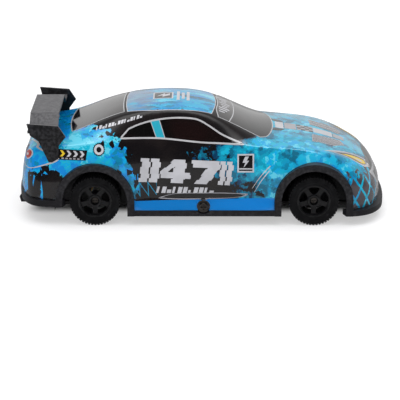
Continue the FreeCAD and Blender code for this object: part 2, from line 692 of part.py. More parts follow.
def chassis_tub():
    """Floor with side walls, gearbox walls, kingpin ears and mounting bosses."""
    low, thick, wall = s.floor_low, s.floor_thick, s.tub_wall
    top = low + thick
    body = new_body("tub")
    floor = sketch_on(body, "XY_Plane", low)
    wide, slim = s.waist_half, s.narrow_half
    rear, front = s.sill_rear + 4.4, s.sill_front - 3.0
    nose, tail = s.tub_front, s.tub_rear
    ear_rear, ear_front, ear = s.front_axle_x - 3.0, s.front_axle_x + 3.0, s.kingpin_half + 2.6
    tail_arch, nose_arch = tail + 0.1, nose - 7.5
    side = [(tail, 28), (tail_arch, 33), (tail_arch, slim), (rear, slim), (rear, wide), (front, wide),
            (front, slim), (ear_rear, slim), (ear_rear, ear), (ear_front, ear), (ear_front, slim),
            (nose_arch, slim), (nose_arch, 30), (nose, 24)]
    polygon(floor, side + [(x, -y) for x, y in reversed(side)])
    extrude(body, floor, thick)
    walls = sketch_on(body, "XY_Plane", top)
    for sign in (1, -1):
        rectangle(walls, (rear, front), sorted_pair(sign * wide, sign * (wide - wall)))
        rectangle(walls, (-70.0, -30.0), sorted_pair(sign * slim, sign * (slim - wall)))
    extrude(body, walls, s.wall_rise)
    tall = sketch_on(body, "XY_Plane", top)
    for sign in (1, -1):
        rectangle(tall, (-67.0, -30.6), sorted_pair(sign * slim, sign * (slim - wall)))
    extrude(body, tall, s.cover_rise)
    plate = sketch_on(body, "XY_Plane", top)
    rectangle(plate, (-67.0, -44.0), (s.motor_face + 0.2, s.motor_face + 1.5))
    extrude(body, plate, s.cover_rise - 2.4)
    posts = sketch_on(body, "XY_Plane", top)
    for sign in (1, -1):
        for x in (s.cover_screw_rear, s.cover_screw_front):
            rectangle(posts, (x - 1.8, x + 1.8), sorted_pair(sign * slim, sign * (slim - 4.0)))
    extrude(body, posts, s.cover_rise)
    return body


def sorted_pair(a, b):
    return (a, b) if float(a) < float(b) else (b, a)


def floor_top():
    return s.floor_low + s.floor_thick


def board_screws():
    """Places of the receiver board's screws in plan."""
    return [(x, sign * s.board_screw_half) for x in (s.board_screw_rear, s.board_screw_front)
            for sign in (1, -1)]


def cover_screws():
    """Places of the gearbox cover's screws in plan."""
    return [(x, sign * s.cover_screw_half) for x in (s.cover_screw_rear, s.cover_screw_front)
            for sign in (1, -1)]


def tub_bosses():
    """Solid features that stand on the floor of the tub."""
    top, front = floor_top(), s.front_axle_x
    screw_x, screw_z = s.side_screw_x, s.side_screw_z
    bosses = [box((door_screw_x() - 1.8, door_screw_x() + 2.6), (-12.0, 12.0), (top, top + 3.6))]
    bosses += [rod("Z", 2.2, (x, y, top), s.board_rise) for x, y in board_screws()]
    for sign in (1, -1):
        start = s.waist_half - 6.0 if sign > 0 else -s.waist_half
        bosses.append(rod("Y", 3.2, (screw_x, start, screw_z), 6.0))
        pillar = sorted_pair(sign * (s.bridge_screw_half - 2.0), sign * (s.bridge_screw_half + 2.0))
        bosses.append(box((front - 3.0, front + 3.0), pillar, (top, s.bridge_low - s.gap)))
        guide_rest = sorted_pair(sign * 16.0, sign * 19.6)
        bosses.append(box((47.8, 55.8), guide_rest, (top, s.rack_low - s.gap)))
        bosses.append(box((-80.0, -76.0), sorted_pair(sign * 4.0, sign * 20.0), (top, 20.0)))
        bosses.append(box((-51.0, -32.0), sorted_pair(sign * 12.0, sign * 14.0), (top, 7.3)))
    return bosses


def tub_details():
    """The tub with its bosses, and its bores, screw holes and openings."""
    low, top = s.floor_low, floor_top()
    screw_x, screw_z = s.side_screw_x, s.side_screw_z
    half = s.door_length * 0.5
    holes = [
        rod("Y", s.axle_radius + s.running_gap, (s.rear_axle_x, -30.0, s.axle_height), 60.0),
        rod("Y", s.pin_radius, (s.rear_axle_x + s.gear_step_x, s.motor_face, gear_z()), 14.0),
        rod("Y", 3.2, (motor_x(), 4.0, motor_z()), 8.0),
        box((s.door_middle - half, s.door_middle + half), (-s.door_half - s.gap, s.door_half + s.gap),
            (0.0, top + 0.01)),
        rod("Z", s.small_shank, (door_screw_x(), 0.0, 5.0), 5.4),
        box((-5.0, 3.0), (s.switch_y - 1.6, s.switch_y + 1.6), (0.0, 9.0)),
    ]
    holes += [rod("Z", s.pilot_radius, (x, y, 15.0), 12.0) for x, y in board_screws()]
    holes += [rod("Z", s.pilot_radius, (x, y, 14.0), 12.0) for x, y in cover_screws()]
    for sign in (1, -1):
        bush = s.narrow_half - s.bush_length if sign > 0 else -s.narrow_half - 0.1
        holes.append(rod("Y", s.bush_radius, (s.rear_axle_x, bush, s.axle_height), s.bush_length + 0.1))
        start = s.waist_half - 5.2 if sign > 0 else -s.waist_half - 0.2
        holes.append(rod("Y", s.large_shank, (screw_x, start, screw_z), 5.4))
        kingpin = (s.front_axle_x, sign * s.kingpin_half, low + 0.6)
        holes.append(rod("Z", s.kingpin_radius, kingpin, 4.0))
        holes.append(rod("Z", s.pilot_radius, (s.front_axle_x, sign * s.bridge_screw_half, 12.0), 12.0))
    return cut(fuse(chassis_tub(), *tub_bosses()), *holes)


def door_screw_x():
    return s.door_middle + s.door_length * 0.5 - 2.0


def battery_door():
    """Door that drops into the floor, with a lip and a screw hole."""
    half, width = s.door_length * 0.5 - s.gap, s.door_half
    body = new_body("door")
    sketch = sketch_on(body, "XY_Plane", s.floor_low)
    rectangle(sketch, (s.door_middle - half, s.door_middle + half), (-width, width))
    extrude(body, sketch, s.door_thick)
    grip = sketch_on(body, "XY_Plane", s.floor_low)
    first, pitch, groove = -22.0, 7.0, 3.0
    for k in range(6):
        x = first + pitch * k
        rectangle(grip, (x, x + groove), (-6.0, 6.0))
    extrude(body, grip, 0.4, "Pocket", backwards=True)
    hole = sketch_on(body, "XY_Plane", s.floor_low)
    circle(hole, door_screw_x(), 0.0, s.small_shank + 0.1)
    extrude(body, hole, 5.0, "Pocket", backwards=True)
    seat = sketch_on(body, "XY_Plane", s.floor_low)
    circle(seat, door_screw_x(), 0.0, 1.7)
    extrude(body, seat, 0.8, "Pocket", backwards=True)
    return body


# ---------------------------------------------------------------- drive

def gear_z():
    return s.axle_height + s.gear_step_z


def motor_x():
    return s.rear_axle_x + s.gear_step_x + s.motor_step_x


def motor_z():
    return gear_z() - s.motor_step_z


def involute(base, radius):
    """Angle that the flank of an involute tooth has turned through at this radius."""
    pressure = math.acos(base / radius)
    return math.tan(pressure) - pressure


def gear_shape(teeth, direction, tooth_at, width):
    """Spur gear about +Y at the origin. A tooth, or a gap, faces the given direction."""
    module = float(s.gear_module)
    pitch = module * teeth / 2.0
    base = pitch * math.cos(math.radians(20))
    tip, root = pitch + 0.8 * module, pitch - 1.25 * module
    half_angle = math.pi / (2 * teeth) - 0.045 / pitch
    start = direction if tooth_at else direction + math.pi / teeth
    foot = max(base * 1.0001, root + 0.01)
    middle = (pitch + base) / 2 if base > root else pitch
    radii = [foot, middle, pitch + 0.3 * module, tip]
    flank = [(r, half_angle + involute(base, pitch) - involute(base, r)) for r in radii]
    flank = [(root, flank[0][1])] + flank
    points = []
    for k in range(teeth):
        centre = start + 2 * math.pi * k / teeth
        outline = [(r, centre - a) for r, a in flank] + [(r, centre + a) for r, a in reversed(flank)]
        points += [Vector(r * math.cos(a), 0, r * math.sin(a)) for r, a in outline]
    face = Part.Face(Part.makePolygon(points + [points[0]]))
    return face.extrude(Vector(0, width, 0))


def toothed(name, parts, bore, at):
    """Gears side by side on one hub, bored through and placed."""
    shape = parts[0].multiFuse(parts[1:]) if len(parts) > 1 else parts[0]
    shape = shape.cut(Part.makeCylinder(bore, 60, Vector(0, -30, 0), Vector(0, 1, 0)))
    feature = free_shape(name, shape)
    feature.Placement = Placement(Vector(*[float(value) for value in at]), Rotation())
    return feature


def drive():
    """Gear train from the motor pinion through the reduction gear to the axle gear."""
    wheel, small, pinion = [int(float(teeth)) for teeth in (s.wheel_teeth, s.small_teeth, s.pinion_teeth)]
    first = math.atan2(float(s.gear_step_z), float(s.gear_step_x))
    second = math.atan2(-float(s.motor_step_z), float(s.motor_step_x))
    width = float(s.gear_width)
    x, z, side = s.rear_axle_x + s.gear_step_x, gear_z(), s.gear_side
    axle_hub = Part.makeCylinder(1.9, width + 3.0, Vector(), Vector(0, 1, 0))
    axle_parts = [gear_shape(wheel, first, True, width), axle_hub]
    at = (s.rear_axle_x, side, s.axle_height)
    node("axle_gear", toothed("axle_gear", axle_parts, float(s.axle_radius), at))
    big = gear_shape(wheel, second, True, width - 1.2).translated(Vector(0, width + 0.8, 0))
    little = gear_shape(small, first + math.pi, False, width + 1.0)
    hub = Part.makeCylinder(2.2, 4.0, Vector(0, width + 2.9, 0), Vector(0, 1, 0))
    bore = float(s.pin_radius) + float(s.running_gap)
    node("reduction_gear", toothed("reduction_gear", [big, little, hub], bore, (x, side - 0.2, z)))
    node("reduction_pin", rod("Y", s.pin_radius, (x, s.motor_face + 0.25, z), 12.9))
    teeth = gear_shape(pinion, second + math.pi, False, width + 0.8)
    at = (motor_x(), side + 3.2, motor_z())
    node("motor_pinion", toothed("motor_pinion", [teeth], float(s.shaft_radius), at))
    node("motor_shaft", rod("Y", s.shaft_radius, (motor_x(), -19.4, motor_z()), 37.4))
    node("rear_axle", rear_axle())
    node("axle_bushes", group(*[axle_bush(sign) for sign in (1, -1)]))


def axle_bush(sign):
    """Flanged sleeve in the side wall of the gearbox."""
    flange_thick = 0.8
    low = s.narrow_half - s.bush_length if sign > 0 else -s.narrow_half
    sleeve = rod("Y", s.bush_radius, (s.rear_axle_x, low, s.axle_height), s.bush_length)
    flange_low = s.narrow_half if sign > 0 else -s.narrow_half - flange_thick
    flange = rod("Y", s.bush_radius + 0.8, (s.rear_axle_x, flange_low, s.axle_height), flange_thick)
    bore = rod("Y", s.axle_radius + s.running_gap, (s.rear_axle_x, -40.0, s.axle_height), 80.0)
    return cut(fuse(sleeve, flange), bore)


def rear_axle():
    """Axle bar, drilled at both ends for the wheel screws."""
    half, depth = s.axle_half, 6.1
    bar = rod("Y", s.axle_radius, (s.rear_axle_x, -half, s.axle_height), half * 2)
    taps = [rod("Y", s.small_shank, (s.rear_axle_x, y, s.axle_height), depth + 0.1)
            for y in (-half - 0.1, half - depth)]
    return cut(bar, *taps)


def hexes():
    """Drive hexes between the bushes and the rear rims."""
    pieces = []
    for sign in (1, -1):
        start = s.hex_low if sign > 0 else -s.hex_low - s.hex_length
        nut = doc.addObject("Part::Prism", "hex")
        nut.Polygon = 6
        bind(nut, "Circumradius", s.hex_radius)
        bind(nut, "Height", s.hex_length)
        nut.Placement = Placement(Vector(), AXLE["Y"])
        for prop, value in zip("xyz", (s.rear_axle_x, start, s.axle_height)):
            bind(nut, "Placement.Base." + prop, value)
        bore = rod("Y", s.axle_radius, (s.rear_axle_x, -40.0, s.axle_height), 80.0)
        pieces.append(cut(nut, bore))
    return group(*pieces)


def motor_can():
    """Round can with two flats, a bearing nose and a recess for its end cap."""
    x, z, length = motor_x(), motor_z(), s.motor_length
    start = s.motor_face - length
    flats = box((x - 12.0, x + 12.0), (start, s.motor_face), (z - s.motor_flat, z + s.motor_flat))
    can = common(rod("Y", s.motor_radius, (x, start, z), length), flats)
    nose = rod("Y", 3.0, (x, s.motor_face - 1.0, z), 2.6)
    bore = rod("Y", s.shaft_radius + s.running_gap, (x, -40.0, z), 80.0)
    recess = box((x - 8.5, x + 8.5), (start - 1.0, start + 3.0), (z - 6.0, z + 6.0))
    return cut(fuse(can, nose), bore, recess)


def motor_end_cap():
    """Plug in the can's open end, with a bearing boss and two solder tabs."""
    x, z = motor_x(), motor_z()
    start = s.motor_face - s.motor_length
    plug = box((x - 8.4, x + 8.4), (start, start + 2.9), (z - 5.9, z + 5.9))
    boss = rod("Y", 3.0, (x, start - 2.0, z), 3.0)
    tabs = [box((x + dx, x + dx + 2.4), (start - 2.6, start + 1.0), (z - 0.2, z + 0.2))
            for dx in (-7.4, 5.0)]
    bore = rod("Y", s.shaft_radius + s.running_gap, (x, -40.0, z), 80.0)
    return cut(fuse(plug, boss, *tabs), bore)


def gearbox_cover():
    """Ribbed lid over the gears and the motor."""
    body = new_body("cover")
    level = floor_top() + s.cover_rise
    sketch = sketch_on(body, "XY_Plane", level)
    rectangle(sketch, (s.cover_rear, s.cover_front), (-s.narrow_half, s.narrow_half))
    for x, y in cover_screws():
        circle(sketch, x, y, s.screw_hole)
    extrude(body, sketch, s.cover_thick)
    ribs = sketch_on(body, "XY_Plane", level + s.cover_thick)
    first, pitch, width = -60.0, 8.0, 1.4
    for k in range(4):
        x = first + pitch * k
        rectangle(ribs, (x, x + width), (-15.0, 15.0))
    extrude(body, ribs, 0.8)
    return body


# ---------------------------------------------------------------- steering

def knuckle(sign):
    """Kingpin sleeve with a stub axle outwards and a steering arm backwards."""
    x, y, z = s.front_axle_x, sign * s.kingpin_half, s.axle_height
    sleeve = rod("Z", s.sleeve_radius, (x, y, 8.0), 11.6)
    stub_length = s.wheel_track_half + 1.5 - s.kingpin_half
    stub = rod("Y", s.axle_radius, (x, y if sign > 0 else y - stub_length, z), stub_length)
    collar = rod("Y", s.sleeve_radius, (x, y + 1.0 if sign > 0 else y - 5.2, z), 4.2)
    arm_low, arm_top, pin_low = 13.0, s.rack_low - s.gap - 0.2, 14.0
    arm = box((x - s.arm_length - 1.3, x), (y - 1.3, y + 1.3), (arm_low, arm_top))
    pin_length = s.rack_low + s.rack_thick + 0.5 - pin_low
    pin = rod("Z", s.steer_pin_radius, (x - s.arm_length, y, pin_low), pin_length)
    tap_start = s.wheel_track_half - 4.6 if sign > 0 else -s.wheel_track_half - 1.6
    bore = rod("Z", s.kingpin_radius + s.running_gap, (x, y, 0.0), 30.0)
    tap = rod("Y", s.small_shank, (x, tap_start, z), 6.2)
    return cut(fuse(sleeve, stub, collar, arm, pin), bore, tap)


def steering_rack():
    """Cross bar with slots for both steering arms' pins and the servo horn's pin."""
    body = new_body("rack")
    centre = s.front_axle_x - s.arm_length
    slot = s.steer_pin_radius + s.slot_gap
    sketch = sketch_on(body, "XY_Plane", s.rack_low)
    end = s.kingpin_half + 2.0
    rear, front, swell = centre - 1.8, centre + 2.2, centre - 2.6
    polygon(sketch, [(rear, -end), (front, -end), (front, end), (rear, end), (rear, 6.0),
                     (swell, 5.0), (swell, -5.0), (rear, -6.0)])
    for y in (-s.kingpin_half, s.kingpin_half):
        rectangle(sketch, (centre - slot, centre + slot + 0.6), (y - slot, y + slot))
    rectangle(sketch, (centre - slot - 0.85, centre + slot), (-slot, slot))
    extrude(body, sketch, s.rack_thick)
    return body


def servo_x():
    """The servo's own axis along the car."""
    return s.front_axle_x - s.arm_length - s.horn_length


def servo_horn():
    """Arm on the servo's post, with a pin that drives the rack."""
    body = new_body("horn")
    centre = servo_x()
    level = s.rack_low + s.rack_thick + 0.3
    tip = s.front_axle_x - s.arm_length
    arm = sketch_on(body, "XY_Plane", level)
    side = [(centre - 2.0, 2.0), (centre, 2.6), (tip, 1.5), (tip + 1.4, 0.8)]
    polygon(arm, [(x, -y) for x, y in side] + list(reversed(side)))
    extrude(body, arm, 1.6)
    pin = sketch_on(body, "XY_Plane", level)
    circle(pin, tip, 0.0, s.steer_pin_radius)
    extrude(body, pin, 1.8, backwards=True)
    hub = sketch_on(body, "XY_Plane", level)
    circle(hub, centre, 0.0, 2.4)
    extrude(body, hub, 2.6)
    bore = sketch_on(body, "XY_Plane", level - 1.0)
    circle(bore, centre, 0.0, 1.06)
    extrude(body, bore, 2.6, "Pocket", backwards=True)
    return body


def servo_housing():
    centre = servo_x()
    case = box((centre - 14.0, centre + 3.0), (-7.0, 7.0), (floor_top() + s.head_gap, 15.2))
    tower = rod("Z", 3.0, (centre, 0.0, 15.0), 2.0)
    post = rod("Z", 1.0, (centre, 0.0, 16.0), 2.9)
    flange = box((centre - 15.6, centre + 3.0), (-8.6, 8.6), (12.0, 13.4))
    return fuse(case, tower, post, flange)


def steering_bridge():
    body = new_body("bridge")
    sketch = sketch_on(body, "XY_Plane", s.bridge_low)
    x, reach = s.front_axle_x, s.kingpin_half + 2.6
    rectangle(sketch, (x - 2.9, x + 2.9), (-reach, reach))
    for sign in (1, -1):
        circle(sketch, x, sign * s.kingpin_half, s.kingpin_radius)
        circle(sketch, x, sign * s.bridge_screw_half, s.screw_hole)
    extrude(body, sketch, s.bridge_thick)
    rib = sketch_on(body, "XY_Plane", s.bridge_low + s.bridge_thick)
    rectangle(rib, (x - 0.6, x + 0.6), (-13.0, 13.0))
    extrude(body, rib, 1.0)
    return body


def kingpins():
    low, length = s.floor_low + 0.6, 16.2
    return group(*[rod("Z", s.kingpin_radius, (s.front_axle_x, y, low), length)
                   for y in (s.kingpin_half, -s.kingpin_half)])


# ---------------------------------------------------------------- electrics

def battery_cell():
    """Round cell lying along the car, with a cap at its front end."""
    x, z, half, cap = s.cell_middle, s.cell_height, s.cell_length * 0.5, 1.2
    return fuse(rod("X", s.cell_radius, (x - half, 0.0, z), s.cell_length - cap),
                rod("X", 2.6, (x + half - cap - 0.1, 0.0, z), cap + 0.1))


def battery_contacts():
    """Sprung plates that touch the cell's ends."""
    half, thick = s.cell_length * 0.5 + 0.05, 0.5
    rear, front = s.cell_middle - half, s.cell_middle + half
    return group(*[box(ends, (-4.5, 4.5), (9.6, 19.0))
                   for ends in ((rear - thick, rear), (front, front + thick))])


def receiver_board():
    body = new_body("board")
    level = floor_top() + s.board_rise
    sketch = sketch_on(body, "XY_Plane", level)
    rectangle(sketch, (-27.0, 25.0), (-15.6, 15.6))
    for x, y in board_screws():
        circle(sketch, x, y, s.screw_hole)
    extrude(body, sketch, s.board_thick)
    chips = sketch_on(body, "XY_Plane", level + s.board_thick)
    rectangle(chips, (-16.0, -8.0), (-4.0, 4.0))
    rectangle(chips, (6.0, 12.0), (-8.0, 8.0))
    rectangle(chips, (-12.0, -4.0), (7.0, 11.0))
    extrude(body, chips, 1.6)
    return body


def switch_housing():
    y, top = s.switch_y, floor_top()
    case = box((-8.0, 6.0), (y - 3.2, y + 3.2), (top + s.head_gap, top + 5.6))
    cavity = box((-6.0, 4.0), (y - 1.8, y + 1.8), (0.0, top + 3.2))
    return cut(case, cavity)


def switch_knob():
    """Slider with a stem through the floor, drawn in its off place."""
    y, top = s.switch_y, floor_top()
    stem = box((-4.4, -0.4), (y - 1.2, y + 1.2), (s.floor_low + 0.1, top + 0.6))
    plate = box((-5.4, 0.6), (y - 1.6, y + 1.6), (top + 0.4, top + 2.8))
    return fuse(stem, plate)


def wire(points, radius):
    """Round insulated wire along a smooth path."""
    curve = Part.BSplineCurve()
    curve.interpolate(Points=[Vector(*point) for point in points])
    path = Part.Wire(curve.toShape())
    start = curve.value(curve.FirstParameter)
    along = curve.tangent(curve.FirstParameter)[0]
    profile = Part.Wire(Part.makeCircle(radius, start, along))
    return path.makePipeShell([profile], True, True)


# ---------------------------------------------------------------- assembly

def body_work():
    """Shell, trim, wing and their screws."""
    skin, shell = body_shell()
    envelope = free_shape("skin_envelope", skin)
    node("body_shell", shell)
    node("skirt_frame", skirt_frame())
    node("rear_wing", rear_wing(envelope))
    node("wing_posts", wing_posts(envelope))
    wing_screw = cross_screw(2.2, 1.2, float(s.large_shank), 9.0)
    seats = [((post_x(), sign * s.post_half, s.boss_top - 5.0), (0, 0, -1)) for sign in (1, -1)]
    node("wing_screws", screws("wing_screws", wing_screw, seats))
    side_screw = cross_screw(float(s.side_head_radius), 1.1, float(s.large_shank), 7.0, 0.9)
    seats = [((s.side_screw_x, sign * 39.75, s.side_screw_z), (0, sign, 0)) for sign in (1, -1)]
    node("body_screws", screws("body_screws", side_screw, seats))


def chassis_work(screw):
    """Tub, battery, receiver, switch and aerial."""
    node("chassis_tub", tub_details())
    node("battery_door", battery_door())
    seat = ((door_screw_x(), 0, s.floor_low + 0.75), (0, 0, -1))
    node("door_screw", screws("door_screw", cross_screw(1.6, 0.6, float(s.small_shank), 3.0), [seat]))
    node("battery_cell", battery_cell())
    node("battery_contacts", battery_contacts())
    node("receiver_board", receiver_board())
    level = floor_top() + s.board_rise + s.board_thick + s.head_gap
    seats = [((x, y, level), (0, 0, 1)) for x, y in board_screws()]
    node("board_screws", screws("board_screws", screw, seats))
    node("switch_housing", switch_housing())
    node("switch_knob", switch_knob())
    path = [(20, 0, 25.4), (24, 4, 30), (14, 20, 33), (-20, 22, 35),
            (-30, 0, 37), (-20, -22, 35), (10, -20, 34)]
    node("antenna_wire", free_shape("antenna", wire(path, float(s.wire_radius))))


def drive_work(screw):
    """Motor, gears, rear axle and gearbox cover."""
    node("motor_can", motor_can())
    node("motor_end_cap", motor_end_cap())
    node("gearbox_cover", gearbox_cover())
    level = floor_top() + s.cover_rise + s.cover_thick + s.head_gap
    seats = [((x, y, level), (0, 0, 1)) for x, y in cover_screws()]
    node("gearbox_screws", screws("gearbox_screws", screw, seats))
    drive()
    node("wheel_hexes", hexes())


def steering_work(screw):
    """Servo, rack, knuckles and the bridge that holds their kingpins."""
    node("servo_housing", servo_housing())
    node("servo_horn", servo_horn())
    node("steering_rack", steering_rack())
    node("steering_bridge", steering_bridge())
    level = s.bridge_low + s.bridge_thick + s.head_gap
    seats = [((s.front_axle_x, sign * s.bridge_screw_half, level), (0, 0, 1)) for sign in (1, -1)]
    node("bridge_screws", screws("bridge_screws", screw, seats))
    node("kingpins", kingpins())
    for hand, sign in (("left", 1), ("right", -1)):
        node("knuckle_" + hand, knuckle(sign))


def wheel_work():
    """Rims, tyres and the screws that hold them on."""
    wheels()
    screw = cross_screw(float(s.wheel_screw_head), 1.1, float(s.small_shank), float(s.small_length))
    seat = s.wheel_track_half + 2.04
    for hand, sign in (("left", 1), ("right", -1)):
        seats = [((s.front_axle_x, sign * seat, s.axle_height), (0, sign, 0))]
        node("front_screw_" + hand, screws("front_screw", screw, seats))
    seats = [((s.rear_axle_x, sign * seat, s.axle_height), (0, sign, 0)) for sign in (1, -1)]
    node("rear_wheel_screws", screws("rear_wheel_screws", screw, seats))


def build():
    small = cross_screw(float(s.small_head), float(s.small_high), float(s.small_shank), float(s.small_length))
    body_work()
    chassis_work(small)
    drive_work(small)
    steering_work(small)
    wheel_work()


def check():
    """Stop when any object failed or a sub-part is not a sound solid."""
    for thing in doc.Objects:
        bad = [state for state in thing.State if state in ("Invalid", "Error")]
        if bad:
            raise RuntimeError("%s (%s) is %s" % (thing.Name, thing.Label, bad))
    for thing in nodes:
        shape = thing.Shape
        if shape.isNull() or not shape.isValid() or not shape.Solids:
            raise RuntimeError("%s has no sound shape" % thing.Label)


build()
doc.recompute()
check()
os.makedirs("parts", exist_ok=True)
for thing in nodes:
    thing.Shape.exportStep("parts/%s.step" % thing.Label)
print("%d nodes written" % len(nodes))
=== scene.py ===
"""Looks of a small remote control race car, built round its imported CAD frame."""

import math

import bmesh
import bpy
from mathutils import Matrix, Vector
from mathutils.bvhtree import BVHTree
from mathutils.geometry import delaunay_2d_cdt
from mathutils.interpolate import poly_3d_calc
from mathutils.kdtree import KDTree


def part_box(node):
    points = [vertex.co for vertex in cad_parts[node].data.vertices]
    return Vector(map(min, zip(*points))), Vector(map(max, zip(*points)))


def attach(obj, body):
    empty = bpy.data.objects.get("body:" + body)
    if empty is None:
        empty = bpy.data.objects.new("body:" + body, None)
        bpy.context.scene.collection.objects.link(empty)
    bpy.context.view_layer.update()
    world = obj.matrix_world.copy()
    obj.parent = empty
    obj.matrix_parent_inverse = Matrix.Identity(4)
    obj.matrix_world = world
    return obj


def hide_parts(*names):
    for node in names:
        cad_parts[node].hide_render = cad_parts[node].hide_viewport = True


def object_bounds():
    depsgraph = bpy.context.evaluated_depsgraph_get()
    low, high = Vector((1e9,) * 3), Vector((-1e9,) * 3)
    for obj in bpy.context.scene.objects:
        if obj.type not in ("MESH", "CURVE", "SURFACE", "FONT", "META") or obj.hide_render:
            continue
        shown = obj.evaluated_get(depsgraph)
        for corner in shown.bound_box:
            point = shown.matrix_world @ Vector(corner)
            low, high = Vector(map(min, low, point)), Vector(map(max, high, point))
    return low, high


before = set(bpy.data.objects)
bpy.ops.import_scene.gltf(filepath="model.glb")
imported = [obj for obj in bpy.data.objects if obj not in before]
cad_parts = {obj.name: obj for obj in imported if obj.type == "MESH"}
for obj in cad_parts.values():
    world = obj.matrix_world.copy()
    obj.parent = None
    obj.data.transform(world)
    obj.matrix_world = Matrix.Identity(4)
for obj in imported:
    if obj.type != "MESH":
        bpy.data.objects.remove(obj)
CAD_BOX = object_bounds()
MM = 0.001


def centre(node):
    """Middle of a CAD node's box."""
    low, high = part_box(node)
    return (low + high) / 2


REAR_HUB = centre("rear_tyre_right")
FRONT_HUB = centre("front_tyre_right")
SHELL_LOW, SHELL_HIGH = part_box("body_shell")


def add_piece(name, data):
    """A new object in the scene."""
    piece = bpy.data.objects.new(name, data)
    bpy.context.scene.collection.objects.link(piece)
    return piece


def closed_mesh(name, mesh, finish):
    """Object data from an edit mesh, its faces turned outwards."""
    bmesh.ops.recalc_face_normals(mesh, faces=mesh.faces)
    data = bpy.data.meshes.new(name)
    mesh.to_mesh(data)
    mesh.free()
    data.materials.append(finish)
    return data


# ---- shader graphs

PURE_WHITE = (1.0, 1.0, 1.0)


def operation(kind):
    """A method of Wire that feeds one arithmetic node."""

    def method(self, *others):
        node = self.graph.node("Math")
        node.operation = kind
        for slot, value in zip(node.inputs, (self,) + others):
            self.graph.feed(slot, value)
        return Wire(self.graph, node.outputs[0])

    return method


class Wire:
    """One value in a shader graph, which can be used in arithmetic."""

    def __init__(self, graph, socket):
        self.graph, self.socket = graph, socket

    __add__ = operation("ADD")
    __sub__ = operation("SUBTRACT")
    __mul__ = operation("MULTIPLY")
    __truediv__ = operation("DIVIDE")
    size = operation("ABSOLUTE")
    root = operation("SQRT")
    fraction = operation("FRACT")
    least = operation("MINIMUM")
    most = operation("MAXIMUM")
    over = operation("GREATER_THAN")
    under = operation("LESS_THAN")

    def rise(self, low, high):
        """0 up to low, 1 from high, and smooth in between."""
        node = self.graph.node("MapRange", Value=self, From_Min=low, From_Max=high)
        node.interpolation_type = "SMOOTHSTEP"
        return Wire(self.graph, node.outputs["Result"])

    def curve(self, points):
        """Piecewise line through (value, result) points."""
        first, last = points[0][0], points[-1][0]
        lowest = min(result for _, result in points)
        span = max(result for _, result in points) - lowest
        node = self.graph.node("FloatCurve", Value=(self - first) / (last - first))
        line = node.mapping.curves[0]
        line.points[0].location = (0, (points[0][1] - lowest) / span)
        line.points[1].location = (1, (points[-1][1] - lowest) / span)
        for value, result in points[1:-1]:
            line.points.new((value - first) / (last - first), (result - lowest) / span)
        for point in line.points:
            point.handle_type = "VECTOR"
        node.mapping.update()
        return Wire(self.graph, node.outputs[0]) * span + lowest


